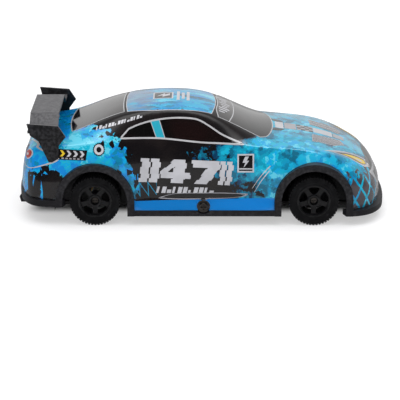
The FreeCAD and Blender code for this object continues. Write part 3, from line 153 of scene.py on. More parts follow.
class Graph:
    """The node graph of a material or a world, with the object's own coordinates in millimetres."""

    def __init__(self, name, kind=bpy.data.materials):
        self.material = kind.new(name)
        self.material.use_nodes = True
        self.tree = self.material.node_tree
        self.tree.nodes.clear()
        coordinates = self.node("TexCoord")
        self.direction = Wire(self, coordinates.outputs["Generated"])
        self.facing = self.split(Wire(self, coordinates.outputs["Normal"]))
        scale = self.node("VectorMath")
        scale.operation = "SCALE"
        self.feed(scale.inputs["Scale"], 1 / MM)
        self.feed(scale.inputs[0], Wire(self, coordinates.outputs["Object"]))
        self.place = Wire(self, scale.outputs[0])
        self.x, self.y, self.z = self.split(self.place)

    def node(self, kind, **inputs):
        """A new node, its inputs fed by name."""
        node = self.tree.nodes.new("ShaderNode" + kind)
        for name, value in inputs.items():
            self.feed(node.inputs[name.replace("_", " ")], value)
        return node

    def feed(self, slot, value):
        if isinstance(value, Wire):
            self.tree.links.new(value.socket, slot)
        elif isinstance(value, tuple) and len(slot.default_value) == 4:
            slot.default_value = (*value, 1.0)
        else:
            slot.default_value = value

    def split(self, vector):
        return [Wire(self, out) for out in self.node("SeparateXYZ", Vector=vector).outputs]

    def join(self, x, y, z):
        return Wire(self, self.node("CombineXYZ", X=x, Y=y, Z=z).outputs[0])

    def noise(self, grain, place=None, detail=3.0):
        """Cloudy value from 0 to 1 whose lumps are about grain millimetres across."""
        node = self.node(
            "TexNoise", Vector=place or self.place, Scale=1 / grain, Detail=detail, Roughness=0.55)
        return Wire(self, node.outputs["Fac"])

    def cells(self, grain, place=None, metric="EUCLIDEAN"):
        """Three random values, each constant over a cell about grain millimetres across."""
        node = self.node("TexVoronoi", Vector=place or self.place, Scale=1 / grain)
        node.distance = metric
        return self.split(Wire(self, node.outputs["Color"]))

    def mix(self, share, below, above):
        node = self.node("Mix")
        node.data_type = "RGBA"
        for index, value in ((0, share), (6, below), (7, above)):
            self.feed(node.inputs[index], value)
        return Wire(self, node.outputs[2])

    def bands(self, value, stops):
        """Colour picked by value from (position, colour) stops, without blending."""
        node = self.node("ValToRGB")
        ramp = node.color_ramp
        ramp.interpolation = "CONSTANT"
        while len(ramp.elements) < len(stops):
            ramp.elements.new(0.5)
        for element, (position, colour) in zip(ramp.elements, stops):
            element.position = position
            element.color = (*colour, 1)
        self.feed(node.inputs[0], value)
        return Wire(self, node.outputs[0])

    def edges(self):
        """Near 1 on sharp convex edges, where handling rubs the finish."""
        return Wire(self, self.node("NewGeometry").outputs["Pointiness"]).rise(0.53, 0.62)

    def bump(self, height, strength, depth):
        node = self.node("Bump", Strength=strength, Distance=depth * MM, Height=height)
        return Wire(self, node.outputs[0])

    def rays(self):
        """1 for what the camera sees directly, and 1 for what polished surfaces mirror."""
        path = self.node("LightPath")
        return Wire(self, path.outputs["Is Camera Ray"]), Wire(self, path.outputs["Is Glossy Ray"])

    def finish(self, colour, rough, normal, metal=0.0, coat=0.0, coat_rough=0.05, shine=0.5, glow=0.0):
        """Wires the surface up and returns the material."""
        surface = self.node(
            "BsdfPrincipled", Emission_Color=PURE_WHITE, Emission_Strength=glow, Base_Color=colour,
            Roughness=rough, Normal=normal, Metallic=metal, Coat_Weight=coat, Coat_Roughness=coat_rough,
            Specular_IOR_Level=shine)
        self.node("OutputMaterial", Surface=Wire(self, surface.outputs[0]))
        return self.material


# ---- materials

SOOT = (0.007, 0.006, 0.007)
DEEP = (0.001, 0.040, 0.105)
TEAL = (0.002, 0.125, 0.215)
PETROL = (0.001, 0.215, 0.375)
AZURE = (0.001, 0.235, 0.66)
SKY = (0.001, 0.355, 0.69)
LAGOON = (0.002, 0.30, 0.46)
CYAN = (0.004, 0.42, 0.60)
ICE = (0.09, 0.56, 0.74)

# base, mottling and rubbed-edge colours, lump size, roughness, grain depth, metal, shine, colour of the
# painted sheen and dust on upward faces
SOLIDS = {
    "black_trim": (
        (0.008, 0.008, 0.010), (0.0105, 0.010, 0.0125), (0.04, 0.04, 0.045), 16, 0.36, 0.02, 0.0, 0.3),
    # the wing's last colour is a painted sheen on its upward faces, standing in for overhead light, with
    # some dust
    "wing": (
        (0.005, 0.005, 0.006), (0.008, 0.008, 0.009), (0.04, 0.04, 0.045), 16, 0.36, 0.02, 0.0, 0.25,
        (0.14, 0.138, 0.145)),
    "chassis_black": ((0.010, 0.010, 0.011), (0.017, 0.017, 0.018), (0.04, 0.04, 0.04), 9, 0.50, 0.03),
    "rim_black": (
        (0.005, 0.005, 0.006), (0.009, 0.009, 0.010), (0.03, 0.03, 0.03), 6, 0.30, 0.01, 0.0, 0.4),
    "dark_steel": ((0.085, 0.075, 0.070), (0.16, 0.145, 0.135), (0.3, 0.28, 0.26), 2, 0.38, 0.02, 1.0),
    "bright_steel": ((0.50, 0.50, 0.51), (0.62, 0.62, 0.63), (0.8, 0.8, 0.8), 3, 0.28, 0.01, 1.0),
    "brass": ((0.62, 0.40, 0.13), (0.72, 0.50, 0.20), (0.85, 0.65, 0.3), 3, 0.28, 0.01, 1.0),
    "gear_nylon": ((0.70, 0.69, 0.64), (0.78, 0.77, 0.73), (0.85, 0.85, 0.82), 5, 0.40, 0.02),
    "wire_insulation": ((0.010, 0.010, 0.010), (0.022, 0.020, 0.020), (0.05, 0.05, 0.05), 4, 0.36, 0.02),
}


def solid_finish(name, base, accent, rub, grain, rough, depth, metal=0.0, shine=0.5, dust=None):
    """One moulded or machined stuff: mottled colour, uneven gloss, fine grain, rubbed edges and, when given,
    a painted sheen with dust on upward faces.
    """
    graph = Graph(name)
    mottle = graph.noise(grain)
    colour = graph.mix(mottle.rise(0.3, 0.7), base, accent)
    # upward faces made lighter: a painted sheen for the overhead light, partly dust
    if dust:
        upward_sheen_and_dust = graph.facing[2].rise(0.15, 0.6) * (mottle * 0.4 + 0.6)
        colour = graph.mix(upward_sheen_and_dust, colour, dust)
    worn = graph.edges() * graph.noise(1.5).rise(0.35, 0.7) * 0.7
    colour = graph.mix(worn, colour, rub)
    fine = graph.noise(0.35, detail=2.0)
    roughness = mottle * 0.16 + fine * 0.06 + (rough - 0.11)
    return graph.finish(colour, roughness, graph.bump(fine, 0.5, depth), metal, shine=shine)


def ink(name, colour, gloss):
    """Printed ink under the shell's clear gloss: slightly uneven, with dust specks and an orange peel."""
    graph = Graph(name)
    cloud = graph.noise(9.0)
    faded = tuple(c * 0.80 + 0.004 for c in colour)
    tone = graph.mix(cloud.rise(0.25, 0.75), faded, colour)
    specks = graph.noise(0.6).rise(0.68, 0.8)
    peel = graph.bump(graph.noise(1.4, detail=1.0), 0.25, 0.012)
    return graph.finish(tone, cloud * 0.10 + specks * 0.2 + (gloss - 0.05), peel, coat=0.8, coat_rough=0.06)


def window_film():
    """Black printed window with a faint brown depth, glossier than the paint round it."""
    graph = Graph("window_film")
    depth = graph.noise(24.0, detail=1.0)
    tone = graph.mix(depth.rise(0.42, 0.7), (0.002, 0.002, 0.002), (0.008, 0.003, 0.003))
    smear = graph.noise(6.0, detail=4.0)
    peel = graph.bump(graph.noise(3.0, detail=1.0), 0.2, 0.01)
    return graph.finish(tone, smear * 0.10 + 0.04, peel, coat=1.0, coat_rough=0.03)


BLUES = (
    (0.0, SOOT), (0.10, DEEP), (0.22, TEAL), (0.33, PETROL), (0.43, AZURE), (0.56, SKY), (0.68, CYAN),
    (0.78, ICE),
)
GREENS = (
    (0.0, SOOT), (0.12, DEEP), (0.21, TEAL), (0.36, PETROL), (0.47, LAGOON), (0.59, CYAN), (0.70, SKY),
    (0.80, ICE),
)
CHIP_SIZES = (7.5, 4.4, 2.6)


def camouflage(graph, tone, spread, streak=1.0, green=0.0):
    """Straight-edged chips in three sizes, darker or lighter with tone and more alike with less spread."""
    ragged = [(nick - 0.5) * 0.8 for nick in graph.cells(0.8)]
    place = graph.join(graph.x / streak + ragged[0], graph.y + ragged[1], graph.z + ragged[2])
    large, middling, small = (graph.cells(grain, place)[0] - 0.5 for grain in CHIP_SIZES)
    shade = tone + (large * 0.36 + middling * 0.36 + small * 0.20) * spread
    return graph.mix(green, graph.bands(shade, BLUES), graph.bands(shade, GREENS))


def shell_print():
    """The shell's printed skin: camouflage torn away round black doors, pillars, rear corners and nose."""
    graph = Graph("shell_print")
    x, y, z = graph.x, graph.y, graph.z
    along = x - REAR_HUB.x / MM
    out = y.size()
    blades = graph.cells(2.3, graph.join(x, y, z / 2.2))
    nicks = graph.cells(0.9)
    torn_along = along + (blades[0] - 0.5) * 4 + (nicks[0] - 0.5) * 1.4
    torn_up = z + (blades[1] - 0.5) * 6 + (nicks[1] - 0.5) * 1.6
    rear_line = torn_up.curve(((8, 22.5), (28, 22.5), (39, 18.5), (44, 14), (48, 11), (50, -3), (62, -10)))
    front_line = z.curve((
        (8, 80), (17, 77), (24, 70), (30, 62), (35, 55), (40, 50), (42.5, 58), (45, 72), (48, 150),
        (62, 150),
    ))
    behind = rear_line - torn_along
    ahead = torn_along - front_line

    # how light the chips are: black fading out ahead of the door, with a painted highlight along the rear
    # belt line
    front_tone = ahead.curve((
        (-6, 0.0), (2, 0.13), (9, 0.26), (17, 0.42), (28, 0.58), (60, 0.60), (75, 0.52), (92, 0.44),
    ))
    rear_tone = behind.curve(((-2, 0.52), (7, 0.54), (16, 0.62), (34, 0.60), (50, 0.52), (62, 0.56)))
    belt_height = 43.5
    # lighter band round the belt height on the rear quarter: a painted highlight of the overhead light
    belt_highlight = (z - belt_height).size().curve(((0, 0.20), (4, 0.05), (9, 0.0), (40, 0.0)))
    deck = z.rise(belt_height, 45.5) * along.under(-14) * 0.22
    rear_tone = rear_tone + belt_highlight - deck
    hub_up = z - REAR_HUB.z / MM
    from_front = x - FRONT_HUB.x / MM
    reach = (from_front * from_front + hub_up * hub_up).root()
    collar = reach.rise(29, 20) * out.over(30) * 0.7
    in_front = along.over(48)
    tone = rear_tone + (front_tone - rear_tone) * in_front
    tone = tone + (tone.most(0.50).least(0.56) - tone) * collar
    camo = camouflage(graph, tone, in_front * 0.35 + 0.62, green=in_front * (collar * -1 + 1))

    # diamond lattice round the nose corners
    diamond = 10
    wander = along - out * 0.8 + graph.noise(12.0) * 5
    rising, falling = ((wander + z * 0.75) / diamond).fraction(), ((wander - z * 0.75) / diamond).fraction()
    smoked = graph.mix(graph.noise(5.0), (0.040, 0.038, 0.048), (0.085, 0.075, 0.085))
    diamonds = rising.least(falling).over(0.17) * torn_along.over(135) * torn_up.under(28)
    camo = graph.mix(diamonds, camo, smoked)

    door = behind.under(0) * ahead.under(0)
    holes = behind.over(0) * behind.under(9) * blades[2].over(0.86) * z.under(46)
    corner_line = x.curve(((-100, 27), (-90, 29), (-80, 30), (-73, 25), (-60, 12), (100, 0)))
    rear_corner = torn_up.under(corner_line) * x.over(-93.5)
    drips = graph.cells(1.3, graph.join(x, y, z / 7))[0].over(0.94)
    tail_panel = torn_up.under(17) * x.under(-86)
    dark = door.most(holes).most(rear_corner * (drips * -1 + 1)).most(tail_panel)
    black_tone = graph.mix(graph.noise(16.0).rise(0.35, 0.7), (0.006, 0.005, 0.006), (0.013, 0.010, 0.010))
    colour = graph.mix(dark, camo, black_tone)

    # outlined zigzag between the rear arch and the door's writing
    teeth = ((along + z * 0.35) / 4.6).fraction() - 0.5
    ridge = (z - 16.5 - teeth.size() * 15).size().under(0.75)
    zigzag = ridge * along.over(19) * along.under(33) * z.under(25)
    colour = graph.mix(zigzag, colour, PETROL)

    sill_top = along.curve(((0, 13.2), (22.8, 13.6), (95.7, 15.2), (120, 15.6)))
    sill_zone = z.under(sill_top) * along.over(20) * along.under(99)
    sill_tone = graph.mix(along.rise(40, 95), (0.001, 0.175, 0.53), (0.002, 0.20, 0.62))
    colour = graph.mix(sill_zone, colour, sill_tone)
    worn = graph.edges() * graph.noise(2.0).rise(0.5, 0.8) * 0.3
    colour = graph.mix(worn, colour, (0.20, 0.28, 0.33))
    lean_x, lean_y, lean_z = graph.facing
    inner = (lean_x * x / 3 + lean_y * y + lean_z * (z - 12)).under(0)
    plain = graph.mix(graph.noise(8.0), (0.009, 0.009, 0.010), (0.016, 0.016, 0.017))
    colour = graph.mix(inner, colour, plain)
    specks = graph.noise(0.7).rise(0.68, 0.8)
    roughness = graph.noise(18.0) * 0.08 + specks * 0.15 + 0.14
    peel = graph.bump(graph.noise(1.8, detail=1.0), 0.2, 0.010)
    dull = dark * z.rise(36, 44)
    return graph.finish(
        colour, roughness, peel, coat=dull * -0.5 + 0.7, coat_rough=0.04, shine=dull * -0.3 + 0.5)


def roof_print():
    """Lighter camouflage whose chips run along the roof, hazed with lilac grey towards the rear."""
    graph = Graph("roof_print")
    camo = camouflage(graph, graph.noise(20.0) * 0.3 + 0.42, 1.1, streak=2.4, green=0.4)
    drift = (graph.x - REAR_HUB.x / MM - 30) / 90
    haze = graph.noise(9.0, graph.join(graph.x / 2, graph.y, graph.z)) - drift
    camo = graph.mix(haze.rise(0.42, 0.60) * 0.65, camo, (0.20, 0.23, 0.31))
    peel = graph.bump(graph.noise(1.8, detail=1.0), 0.2, 0.010)
    return graph.finish(camo, graph.noise(18.0) * 0.08 + 0.14, peel, coat=0.7)


def board_finish():
    """Green circuit board with lighter tracks and pale solder spots."""
    graph = Graph("board_finish")
    tracks = (graph.x / 1.7).fraction().over(0.62) * graph.cells(5.0, metric="CHEBYCHEV")[0].over(0.35)
    mask = graph.mix(graph.noise(8.0), (0.004, 0.055, 0.018), (0.008, 0.085, 0.03))
    colour = graph.mix(tracks * 0.6, mask, (0.03, 0.19, 0.07))
    colour = graph.mix(graph.cells(2.2)[1].over(0.93), colour, (0.45, 0.44, 0.42))
    return graph.finish(colour, graph.noise(4.0) * 0.15 + 0.3, graph.bump(tracks, 0.4, 0.03), coat=0.2)


def vent_print():
    """Fine dark and silver hatching printed on the bonnet vents."""
    graph = Graph("vent_print")
    hatch = ((graph.x + graph.y) / 1.7).fraction().over(0.58)
    weave = ((graph.x - graph.y) / 1.7).fraction().over(0.86)
    cloud = graph.noise(6.0)
    tone = graph.mix(cloud, (0.34, 0.34, 0.37), (0.46, 0.46, 0.50))
    tone = graph.mix(hatch.most(weave), tone, (0.018, 0.018, 0.022))
    return graph.finish(tone, cloud * 0.1 + 0.2, graph.bump(hatch, 0.3, 0.02), coat=0.7)


def cell_finish():
    """Shrink-wrapped cell: blue film with darker bands round it and lengthwise wrinkles."""
    graph = Graph("cell_finish")
    wrinkle = graph.noise(1.2, graph.join(graph.x / 8, graph.y, graph.z))
    base = graph.mix(wrinkle.rise(0.3, 0.7), (0.010, 0.05, 0.23), (0.016, 0.075, 0.30))
    colour = graph.mix((graph.x / 9.0).fraction().over(0.82), base, (0.30, 0.31, 0.33))
    return graph.finish(colour, wrinkle * 0.2 + 0.22, graph.bump(wrinkle, 0.4, 0.05), coat=0.3)


def rubber_finish():
    """Soft black tyre rubber, dusty in the grooves and a little shinier where it is rubbed."""
    graph = Graph("rubber_finish")
    dust = graph.noise(5.0, detail=4.0)
    fine = graph.noise(0.4, detail=2.0)
    colour = graph.mix(dust.rise(0.4, 0.75), (0.004, 0.004, 0.005), (0.009, 0.009, 0.010))
    colour = graph.mix(graph.edges() * 0.5, colour, (0.022, 0.022, 0.024))
    return graph.finish(colour, dust * 0.2 + 0.48, graph.bump(fine, 0.6, 0.03), shine=0.22)


FINISHES = {slot: solid_finish(slot + "_finish", *values) for slot, values in SOLIDS.items()}
FINISHES.update(
    printed_shell=shell_print(), tyre=rubber_finish(), cell_wrap=cell_finish(), circuit_board=board_finish())
for name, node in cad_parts.items():
    for slot in node.material_slots:
        slot.material = FINISHES["wing" if name == "rear_wing" else slot.material.name]

INK_COLOURS = {
    "white": (0.56, 0.56, 0.60),
    "silver": (0.48, 0.48, 0.50),
    "black": SOOT,
    "cyan": (0.005, 0.36, 0.50),
    "yellow": (0.80, 0.56, 0.02),
    "red": (0.34, 0.035, 0.03),
    "grey": (0.33, 0.33, 0.36),
}
INK = {"film": window_film(), "roof": roof_print(), "vent": vent_print()}
for name, colour in INK_COLOURS.items():
    INK[name] = ink(name + "_ink", colour, 0.16 if name == "black" else 0.22)


# ---- printed sheets on the shell


class Skin:
    """The outside of the body shell, for finding where a printed sheet lies."""

    def __init__(self, node):
        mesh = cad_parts[node].data
        normals = [corner.vector.copy() for corner in mesh.corner_normals]
        self.points = [vertex.co.copy() for vertex in mesh.vertices]
        self.faces = [tuple(face.vertices) for face in mesh.polygons]
        self.corners = [[normals[i] for i in face.loop_indices] for face in mesh.polygons]
        self.tree = BVHTree.FromPolygons(self.points, self.faces)

    def drop(self, start, direction):
        """Where a straight line meets the skin, and the smooth normal there; None when it misses."""
        spot, _, index, _ = self.tree.ray_cast(start, direction)
        if spot is None:
            return None
        shares = poly_3d_calc([self.points[i] for i in self.faces[index]], spot)
        normal = sum((n * share for n, share in zip(self.corners[index], shares)), Vector())
        return spot, normal.normalized()


SKIN = Skin("body_shell")
REACH = (SHELL_HIGH - SHELL_LOW).length
FACINGS = {
    "right": lambda u, v: (Vector((u, -REACH, v)), Vector((0, 1, 0))),
    "left": lambda u, v: (Vector((u, REACH, v)), Vector((0, -1, 0))),
    "top": lambda u, v: (Vector((u, v, REACH)), Vector((0, 0, -1))),
    "rear": lambda u, v: (Vector((-REACH, u, v)), Vector((1, 0, 0))),
    "front": lambda u, v: (Vector((REACH, u, v)), Vector((-1, 0, 0))),
}
FLANKS = (("right", 1), ("left", -1))


def from_hub(points):
    """Artwork points in millimetres ahead of the rear hub, and up on a flank or left in plan."""
    return [(REAR_HUB.x + a * MM, b * MM) for a, b in points]


def from_middle(points):
    """Artwork points in millimetres left of the centre line and up, on the nose or the tail."""
    return [(a * MM, b * MM) for a, b in points]


def far_half(points):
    """The points mirrored across the centre line and in reverse order."""
    return [(x, -y) for x, y in reversed(points)]


def curve_through(points, corners=(), closed=True):
    """Smooth line through points, which turns sharply only at the numbered corners."""
    steps = 6
    count = len(points)
    spans = count if closed else count - 1
    line = []
    for i in range(spans):
        before, start, end, after = (points[j % count] for j in (i - 1, i, i + 1, i + 2))
        if i in corners or (not closed and i == 0):
            before = start
        if (i + 1) % count in corners or (not closed and i == spans - 1):
            after = end
        for k in range(steps):
            t = k / steps
            line.append(tuple(
                0.5 * (
                    2 * b + (c - a) * t + (2 * a - 5 * b + 4 * c - d) * t ** 2
                    + (3 * b - a - 3 * c + d) * t ** 3)
                for a, b, c, d in zip(before, start, end, after)
            ))
    if not closed:
        line.append(tuple(points[-1]))
    return line


def beside(line, offset, closed=True):
    """The line moved sideways by offset."""
    moved = []
    count = len(line)
    for i, (u, v) in enumerate(line):
        back = line[(i - 1) % count] if closed or i else line[i]
        ahead = line[(i + 1) % count] if closed or i < count - 1 else line[i]
        along = Vector((ahead[0] - back[0], ahead[1] - back[1])).normalized()
        moved.append((u - along.y * offset, v + along.x * offset))
    return moved


def band(line, width, closed=True):
    """Loops that bound a stripe of this width centred on the line."""
    left, right = beside(line, width / 2, closed), beside(line, -width / 2, closed)
    return [left, right] if closed else [left + right[::-1]]


def ring(u, v, radius):
    steps = 36
    angles = [math.tau * i / steps for i in range(steps)]
    return [(u + radius * math.cos(angle), v + radius * math.sin(angle)) for angle in angles]


def box_loop(u0, v0, u1, v1):
    return [(u0, v0), (u1, v0), (u1, v1), (u0, v1)]


def inside(point, loops):
    """True if an odd number of loop edges lies to the right of the point."""
    odd = False
    u, v = point
    for loop in loops:
        for (u0, v0), (u1, v1) in zip(loop, loop[1:] + loop[:1]):
            if (v0 > v) != (v1 > v) and u < u0 + (v - v0) / (v1 - v0) * (u1 - u0):
                odd = not odd
    return odd


def finely(loop, spacing):
    """The loop with its long edges divided."""
    points = []
    for start, end in zip(loop, loop[1:] + loop[:1]):
        a, b = Vector(start), Vector(end)
        parts = max(1, math.ceil((b - a).length / spacing))
        points += [tuple(a.lerp(b, k / parts)) for k in range(parts)]
    return points


def triangles(loops, spacing):
    """Flat points and triangles that fill the loops."""
    loops = [finely(loop, spacing) for loop in loops]
    points, edges = [], []
    for loop in loops:
        first = len(points)
        points += loop
        edges += [(first + i, first + (i + 1) % len(loop)) for i in range(len(loop))]
    rim = KDTree(len(points))
    for i, (u, v) in enumerate(points):
        rim.insert((u, v, 0), i)
    rim.balance()
    low = [min(p[k] for p in points) for k in (0, 1)]
    high = [max(p[k] for p in points) for k in (0, 1)]
    across = [int((high[k] - low[k]) / spacing) + 1 for k in (0, 1)]
    least_gap = spacing * 0.45
    for i in range(across[0]):
        for j in range(across[1]):
            spot = (low[0] + (i + 0.5) * spacing, low[1] + (j + 0.5 + 0.5 * (i % 2)) * spacing)
            if rim.find((*spot, 0))[2] > least_gap and inside(spot, loops):
                points.append(spot)
    flat, _, faces, *_ = delaunay_2d_cdt([Vector(p) for p in points], edges, [], 0, 1e-9)
    kept = []
    for face in faces:
        middle = sum((flat[i] for i in face), Vector((0, 0))) / 3
        if inside(middle, loops):
            kept.append(face)
    return flat, kept


LINE = 0.72 * MM


class Print:
    """Thin printed sheets that lie on the shell, gathered in one piece."""

    SUNK = 0.06 * MM
    LAYER = 0.06 * MM

    def __init__(self, name):
        self.name = name
        self.points, self.normals, self.faces = [], [], []
        self.inks, self.used = [], []

    def lay(self, loops, facing, colour, **more):
        """Adds a sheet with this outline; sides and halves are laid on the right and on the left."""
        if facing == "sides":
            for side, _ in FLANKS:
                self.sheet(loops, side, colour, **more)
        elif facing == "halves":
            for turn in (1, -1):
                half = [[(u, v * turn) for u, v in loop] for loop in loops]
                self.sheet(half, "top", colour, **more)
        else:
            self.sheet(loops, facing, colour, **more)

    def framed(self, outline, facing, colour, edge, width, **more):
        """Lays a filled sheet and a thin line of the edge colour round it."""
        self.lay([outline], facing, colour, **more)
        self.lay(band(outline, LINE * width), facing, edge, layer=3)

    def sheet(self, loops, facing, colour, layer=1, spacing=1.2 * MM, relief=None):
        """One sheet seen from facing, layer steps above the shell."""
        if colour not in self.used:
            self.used.append(colour)
        flat, faces = triangles(loops, spacing)
        hits = [SKIN.drop(*FACINGS[facing](u, v)) for u, v in flat]
        faces = [face for face in faces if all(hits[i] for i in face)]
        top, bottom = {}, {}
        for i in sorted({i for face in faces for i in face}):
            spot, normal = hits[i]
            height = self.LAYER * layer + (relief(*flat[i]) if relief else 0)
            for where, lift in ((top, height), (bottom, -self.SUNK)):
                where[i] = len(self.points)
                self.points.append(spot + normal * lift)
                self.normals.append(normal)
        mirrored = facing in ("left", "rear")
        borders = {}
        made = []
        for face in faces:
            face = tuple(reversed(face)) if mirrored else tuple(face)
            made.append([top[i] for i in face])
            made.append([bottom[i] for i in reversed(face)])
            for a, b in zip(face, face[1:] + face[:1]):
                borders[a, b] = True
        for a, b in borders:
            if (b, a) not in borders:
                made.append([top[b], top[a], bottom[a], bottom[b]])
        self.faces += made
        self.inks += [self.used.index(colour)] * len(made)

    def done(self):
        """Makes the piece and rides it on the chassis, as the shell does."""
        mesh = bpy.data.meshes.new(self.name)
        mesh.from_pydata(self.points, [], self.faces)
        for colour in self.used:
            mesh.materials.append(INK[colour])
        for face, index in zip(mesh.polygons, self.inks):
            face.material_index = index
            face.use_smooth = len(face.vertices) == 3
        mesh.normals_split_custom_set([
            self.normals[i] if face.use_smooth and face.normal.dot(self.normals[i]) > 0 else face.normal
            for face in mesh.polygons for i in face.vertices
        ])
        piece = add_piece(self.name, mesh)
        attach(piece, "chassis")


def side_windows(sheet):
    """Black side glass in a silver line, with the cyan bar between its two lights."""
    window = curve_through(from_hub((
        (13.9, 46.7), (18.2, 50.7), (23.5, 52.6), (30.7, 54.3), (40, 55.4), (48.5, 55.4), (55, 54.5),
        (60.8, 51.8), (68.5, 47.5), (79.4, 43.3), (66, 44.2), (56, 44.8), (37.5, 46.6), (26, 46.9),
    )), corners=(0, 1, 9))
    bar = from_hub(((29.7, 54.2), (34.3, 54.9), (37.6, 46.7), (33.0, 46.9)))
    sheet.lay([window], "sides", "film")
    sheet.lay([bar], "sides", "cyan", layer=2)
    sheet.lay(band(window, LINE), "sides", "silver", layer=3)
    for edge in ((bar[0], bar[3]), (bar[1], bar[2])):
        sheet.lay(band(edge, LINE * 0.5, closed=False), "sides", "silver", layer=3)


def windscreen(sheet):
    """Glossy windscreen with its sun strip and a silver line round it."""
    half = [(66.0, -21.3), (79.6, -22.6), (88.5, -24.8), (92.3, -21.5), (94.8, -13.5), (95.8, -4.5)]
    crown = [(64.9, 12.0), (65.6, 4.0), (65.6, -4.0), (64.9, -12.0)]
    outline = curve_through(from_hub(half + far_half(half) + crown), corners=(0, 2, 9, 11))
    sheet.framed(outline, "top", "film", "silver", 0.7)
    strip = from_hub(((71.8, -21.6), (73.8, -11.5), (74.4, 0), (73.8, 11.5), (71.8, 21.6)))
    strip = curve_through(strip, closed=False)
    sheet.lay(band(strip, LINE * 0.7, closed=False), "top", "silver", layer=3)
    blocks = 9
    for k in range(blocks):
        y = (k - (blocks - 1) / 2) * 3.1
        x = 69.6 - 0.011 * y * y
        length = 1.5 + 0.7 * (k % 3)
        corners = ((-length, -1.0), (length, -0.5), (length, 0.9), (-length, 0.4))
        sheet.lay([from_hub((x + dx, y + dy) for dx, dy in corners)], "top", "white", layer=2)


def rear_window(sheet):
    """Glossy rear window in a silver line."""
    half = [(-12.6, -21.4), (-1.0, -20.7), (15.4, -18.9)]
    crown = [(14.6, -7), (14.6, 7)]
    foot = [(-14.2, 8), (-14.2, -8)]
    outline = curve_through(from_hub(half + crown + far_half(half) + foot), corners=(0, 2, 5, 7))
    sheet.framed(outline, "top", "film", "silver", 0.7)


def lightning(u, v, scale, turn=1):
    """Generic bolt mark centred on (u, v)."""
    shape = (
        (-0.10, 0.9), (0.55, 0.9), (0.18, 0.22), (0.62, 0.22), (-0.38, -0.95), (-0.06, -0.10),
        (-0.55, -0.10),
    )
    return [(u + turn * a * scale, v + b * scale) for a, b in shape]


def roof_panel(sheet):
    """Camouflaged roof panel with a boxed bolt and a bar block across it."""
    half = [(17.2, -19.6), (28.3, -21.4), (39.6, -21.5), (50.8, -21.2), (62.3, -20.2)]
    crown = [(64.0, -10), (64.5, 0), (64.0, 10)]
    foot = [(16.2, 8), (16.2, -8)]
    outline = curve_through(from_hub(half + crown + far_half(half) + foot), corners=(0, 4, 8, 12))
    sheet.framed(outline, "top", "roof", "white", 0.5, spacing=1.5 * MM)
    x0, x1, half_width, edge = 30.5, 41.5, 6.0, 0.8
    outer = from_hub(box_loop(x0, -half_width, x1, half_width))
    core = from_hub(box_loop(x0 + edge, edge - half_width, x1 - edge, half_width - edge))
    sheet.lay([outer, core], "top", "white", layer=2)
    sheet.lay([core], "top", "black", layer=2)
    middle = (x0 + x1) / 2
    bolt = from_hub((middle + b * 4.4, a * 6.4) for a, b in lightning(0, 0, 0.9))
    sheet.lay([bolt], "top", "white", layer=3)
    for k, span in enumerate((8.2, 5.8, 8.2)):
        x = x1 + 1.9 + 2.7 * k
        sheet.lay([from_hub(box_loop(x, -span, x + 1.6, span))], "top", "white", layer=2)


FOUR = (
    [(0.0, 0.20), (0.0, 0.47), (0.34, 1.0), (0.64, 1.0), (0.64, 0.46), (0.78, 0.46), (0.78, 0.20),
     (0.64, 0.20), (0.64, 0.0), (0.32, 0.0), (0.32, 0.20)],
    [(0.20, 0.46), (0.34, 0.46), (0.34, 0.70)],
)
SEVEN = ([(0.0, 1.0), (0.80, 1.0), (0.80, 0.72), (0.50, 0.0), (0.14, 0.0), (0.44, 0.70), (0.0, 0.70)],)


def sliced(loop, cuts, shifts):
    """The loop with each level between the cuts slid sideways by its own shift."""
    def level(b):
        return sum(b > cut for cut in cuts)

    points = []
    for (a0, b0), (a1, b1) in zip(loop, loop[1:] + loop[:1]):
        points.append((a0 + shifts[level(b0)], b0))
        upward = b1 > b0
        crossed = [cut for cut in cuts if min(b0, b1) < cut < max(b0, b1)]
        for cut in crossed if upward else crossed[::-1]:
            a = a0 + (cut - b0) / (b1 - b0) * (a1 - a0)
            below, above = shifts[level(cut - 0.001)], shifts[level(cut + 0.001)]
            pair = [(a + below, cut - 0.004), (a + above, cut + 0.004)]
            points += pair if upward else pair[::-1]
    return points


def race_number(sheet):
    """Big pale race number on each door between slanted speed bars, all sliced and slid a little."""
    foot, height, slant, sag = 24.3, 12.9, 0.10, 0.045
    middle, half_length = 48.9, 24.4
    cuts, shifts = (0.17, 0.36, 0.64, 0.86), (-0.5, 0.45, -0.15, 0.6, -0.3)
    bars = ((0.0, 4.5), (5.4, 9.9), (42.2, 45.0), (45.8, 48.6))
    shapes = [[box_loop(low, 0, high, 1)] for low, high in bars]
    for start, glyph, width in ((10.6, FOUR, 20.4), (27.0, SEVEN, 18.4)):
        shapes.append([[(start + a * width, b) for a, b in loop] for loop in glyph])
    for facing, turn in FLANKS:
        for shape in shapes:
            loops = []
            for loop in shape:
                placed = []
                for a, b in sliced(loop, cuts, shifts):
                    run = turn * (a - half_length + (b - 0.5) * height * slant)
                    placed.append((middle + run, foot + b * height - sag * (run + 24)))
                loops.append(from_hub(placed))
            sheet.lay(loops, facing, "white", layer=2)


def mark_rows(sheet):
    """Rows of upright marks of uneven width under each race number and along each rear pillar."""
    slant = 0.25
    rows = (((32.6, 18.0), (63.7, 17.1), 11, 3.6), ((0.5, 49.3), (25.5, 55.6), 15, 1.5))
    for (x0, z0), (x1, z1), count, height in rows:
        pitch = 1 / count
        for k in range(count):
            share = 0.78 if k % 3 else 0.45
            tall = height * (1 if k % 4 != 2 else 0.55)
            corners = []
            for t, rise in box_loop(0, 0, share, 1):
                at, up = (k + t) * pitch, rise * tall
                corners.append((x0 + (x1 - x0) * at + slant * up, z0 + (z1 - z0) * at + up))
            sheet.lay([from_hub(corners)], "sides", "white", layer=2, spacing=1.0 * MM)


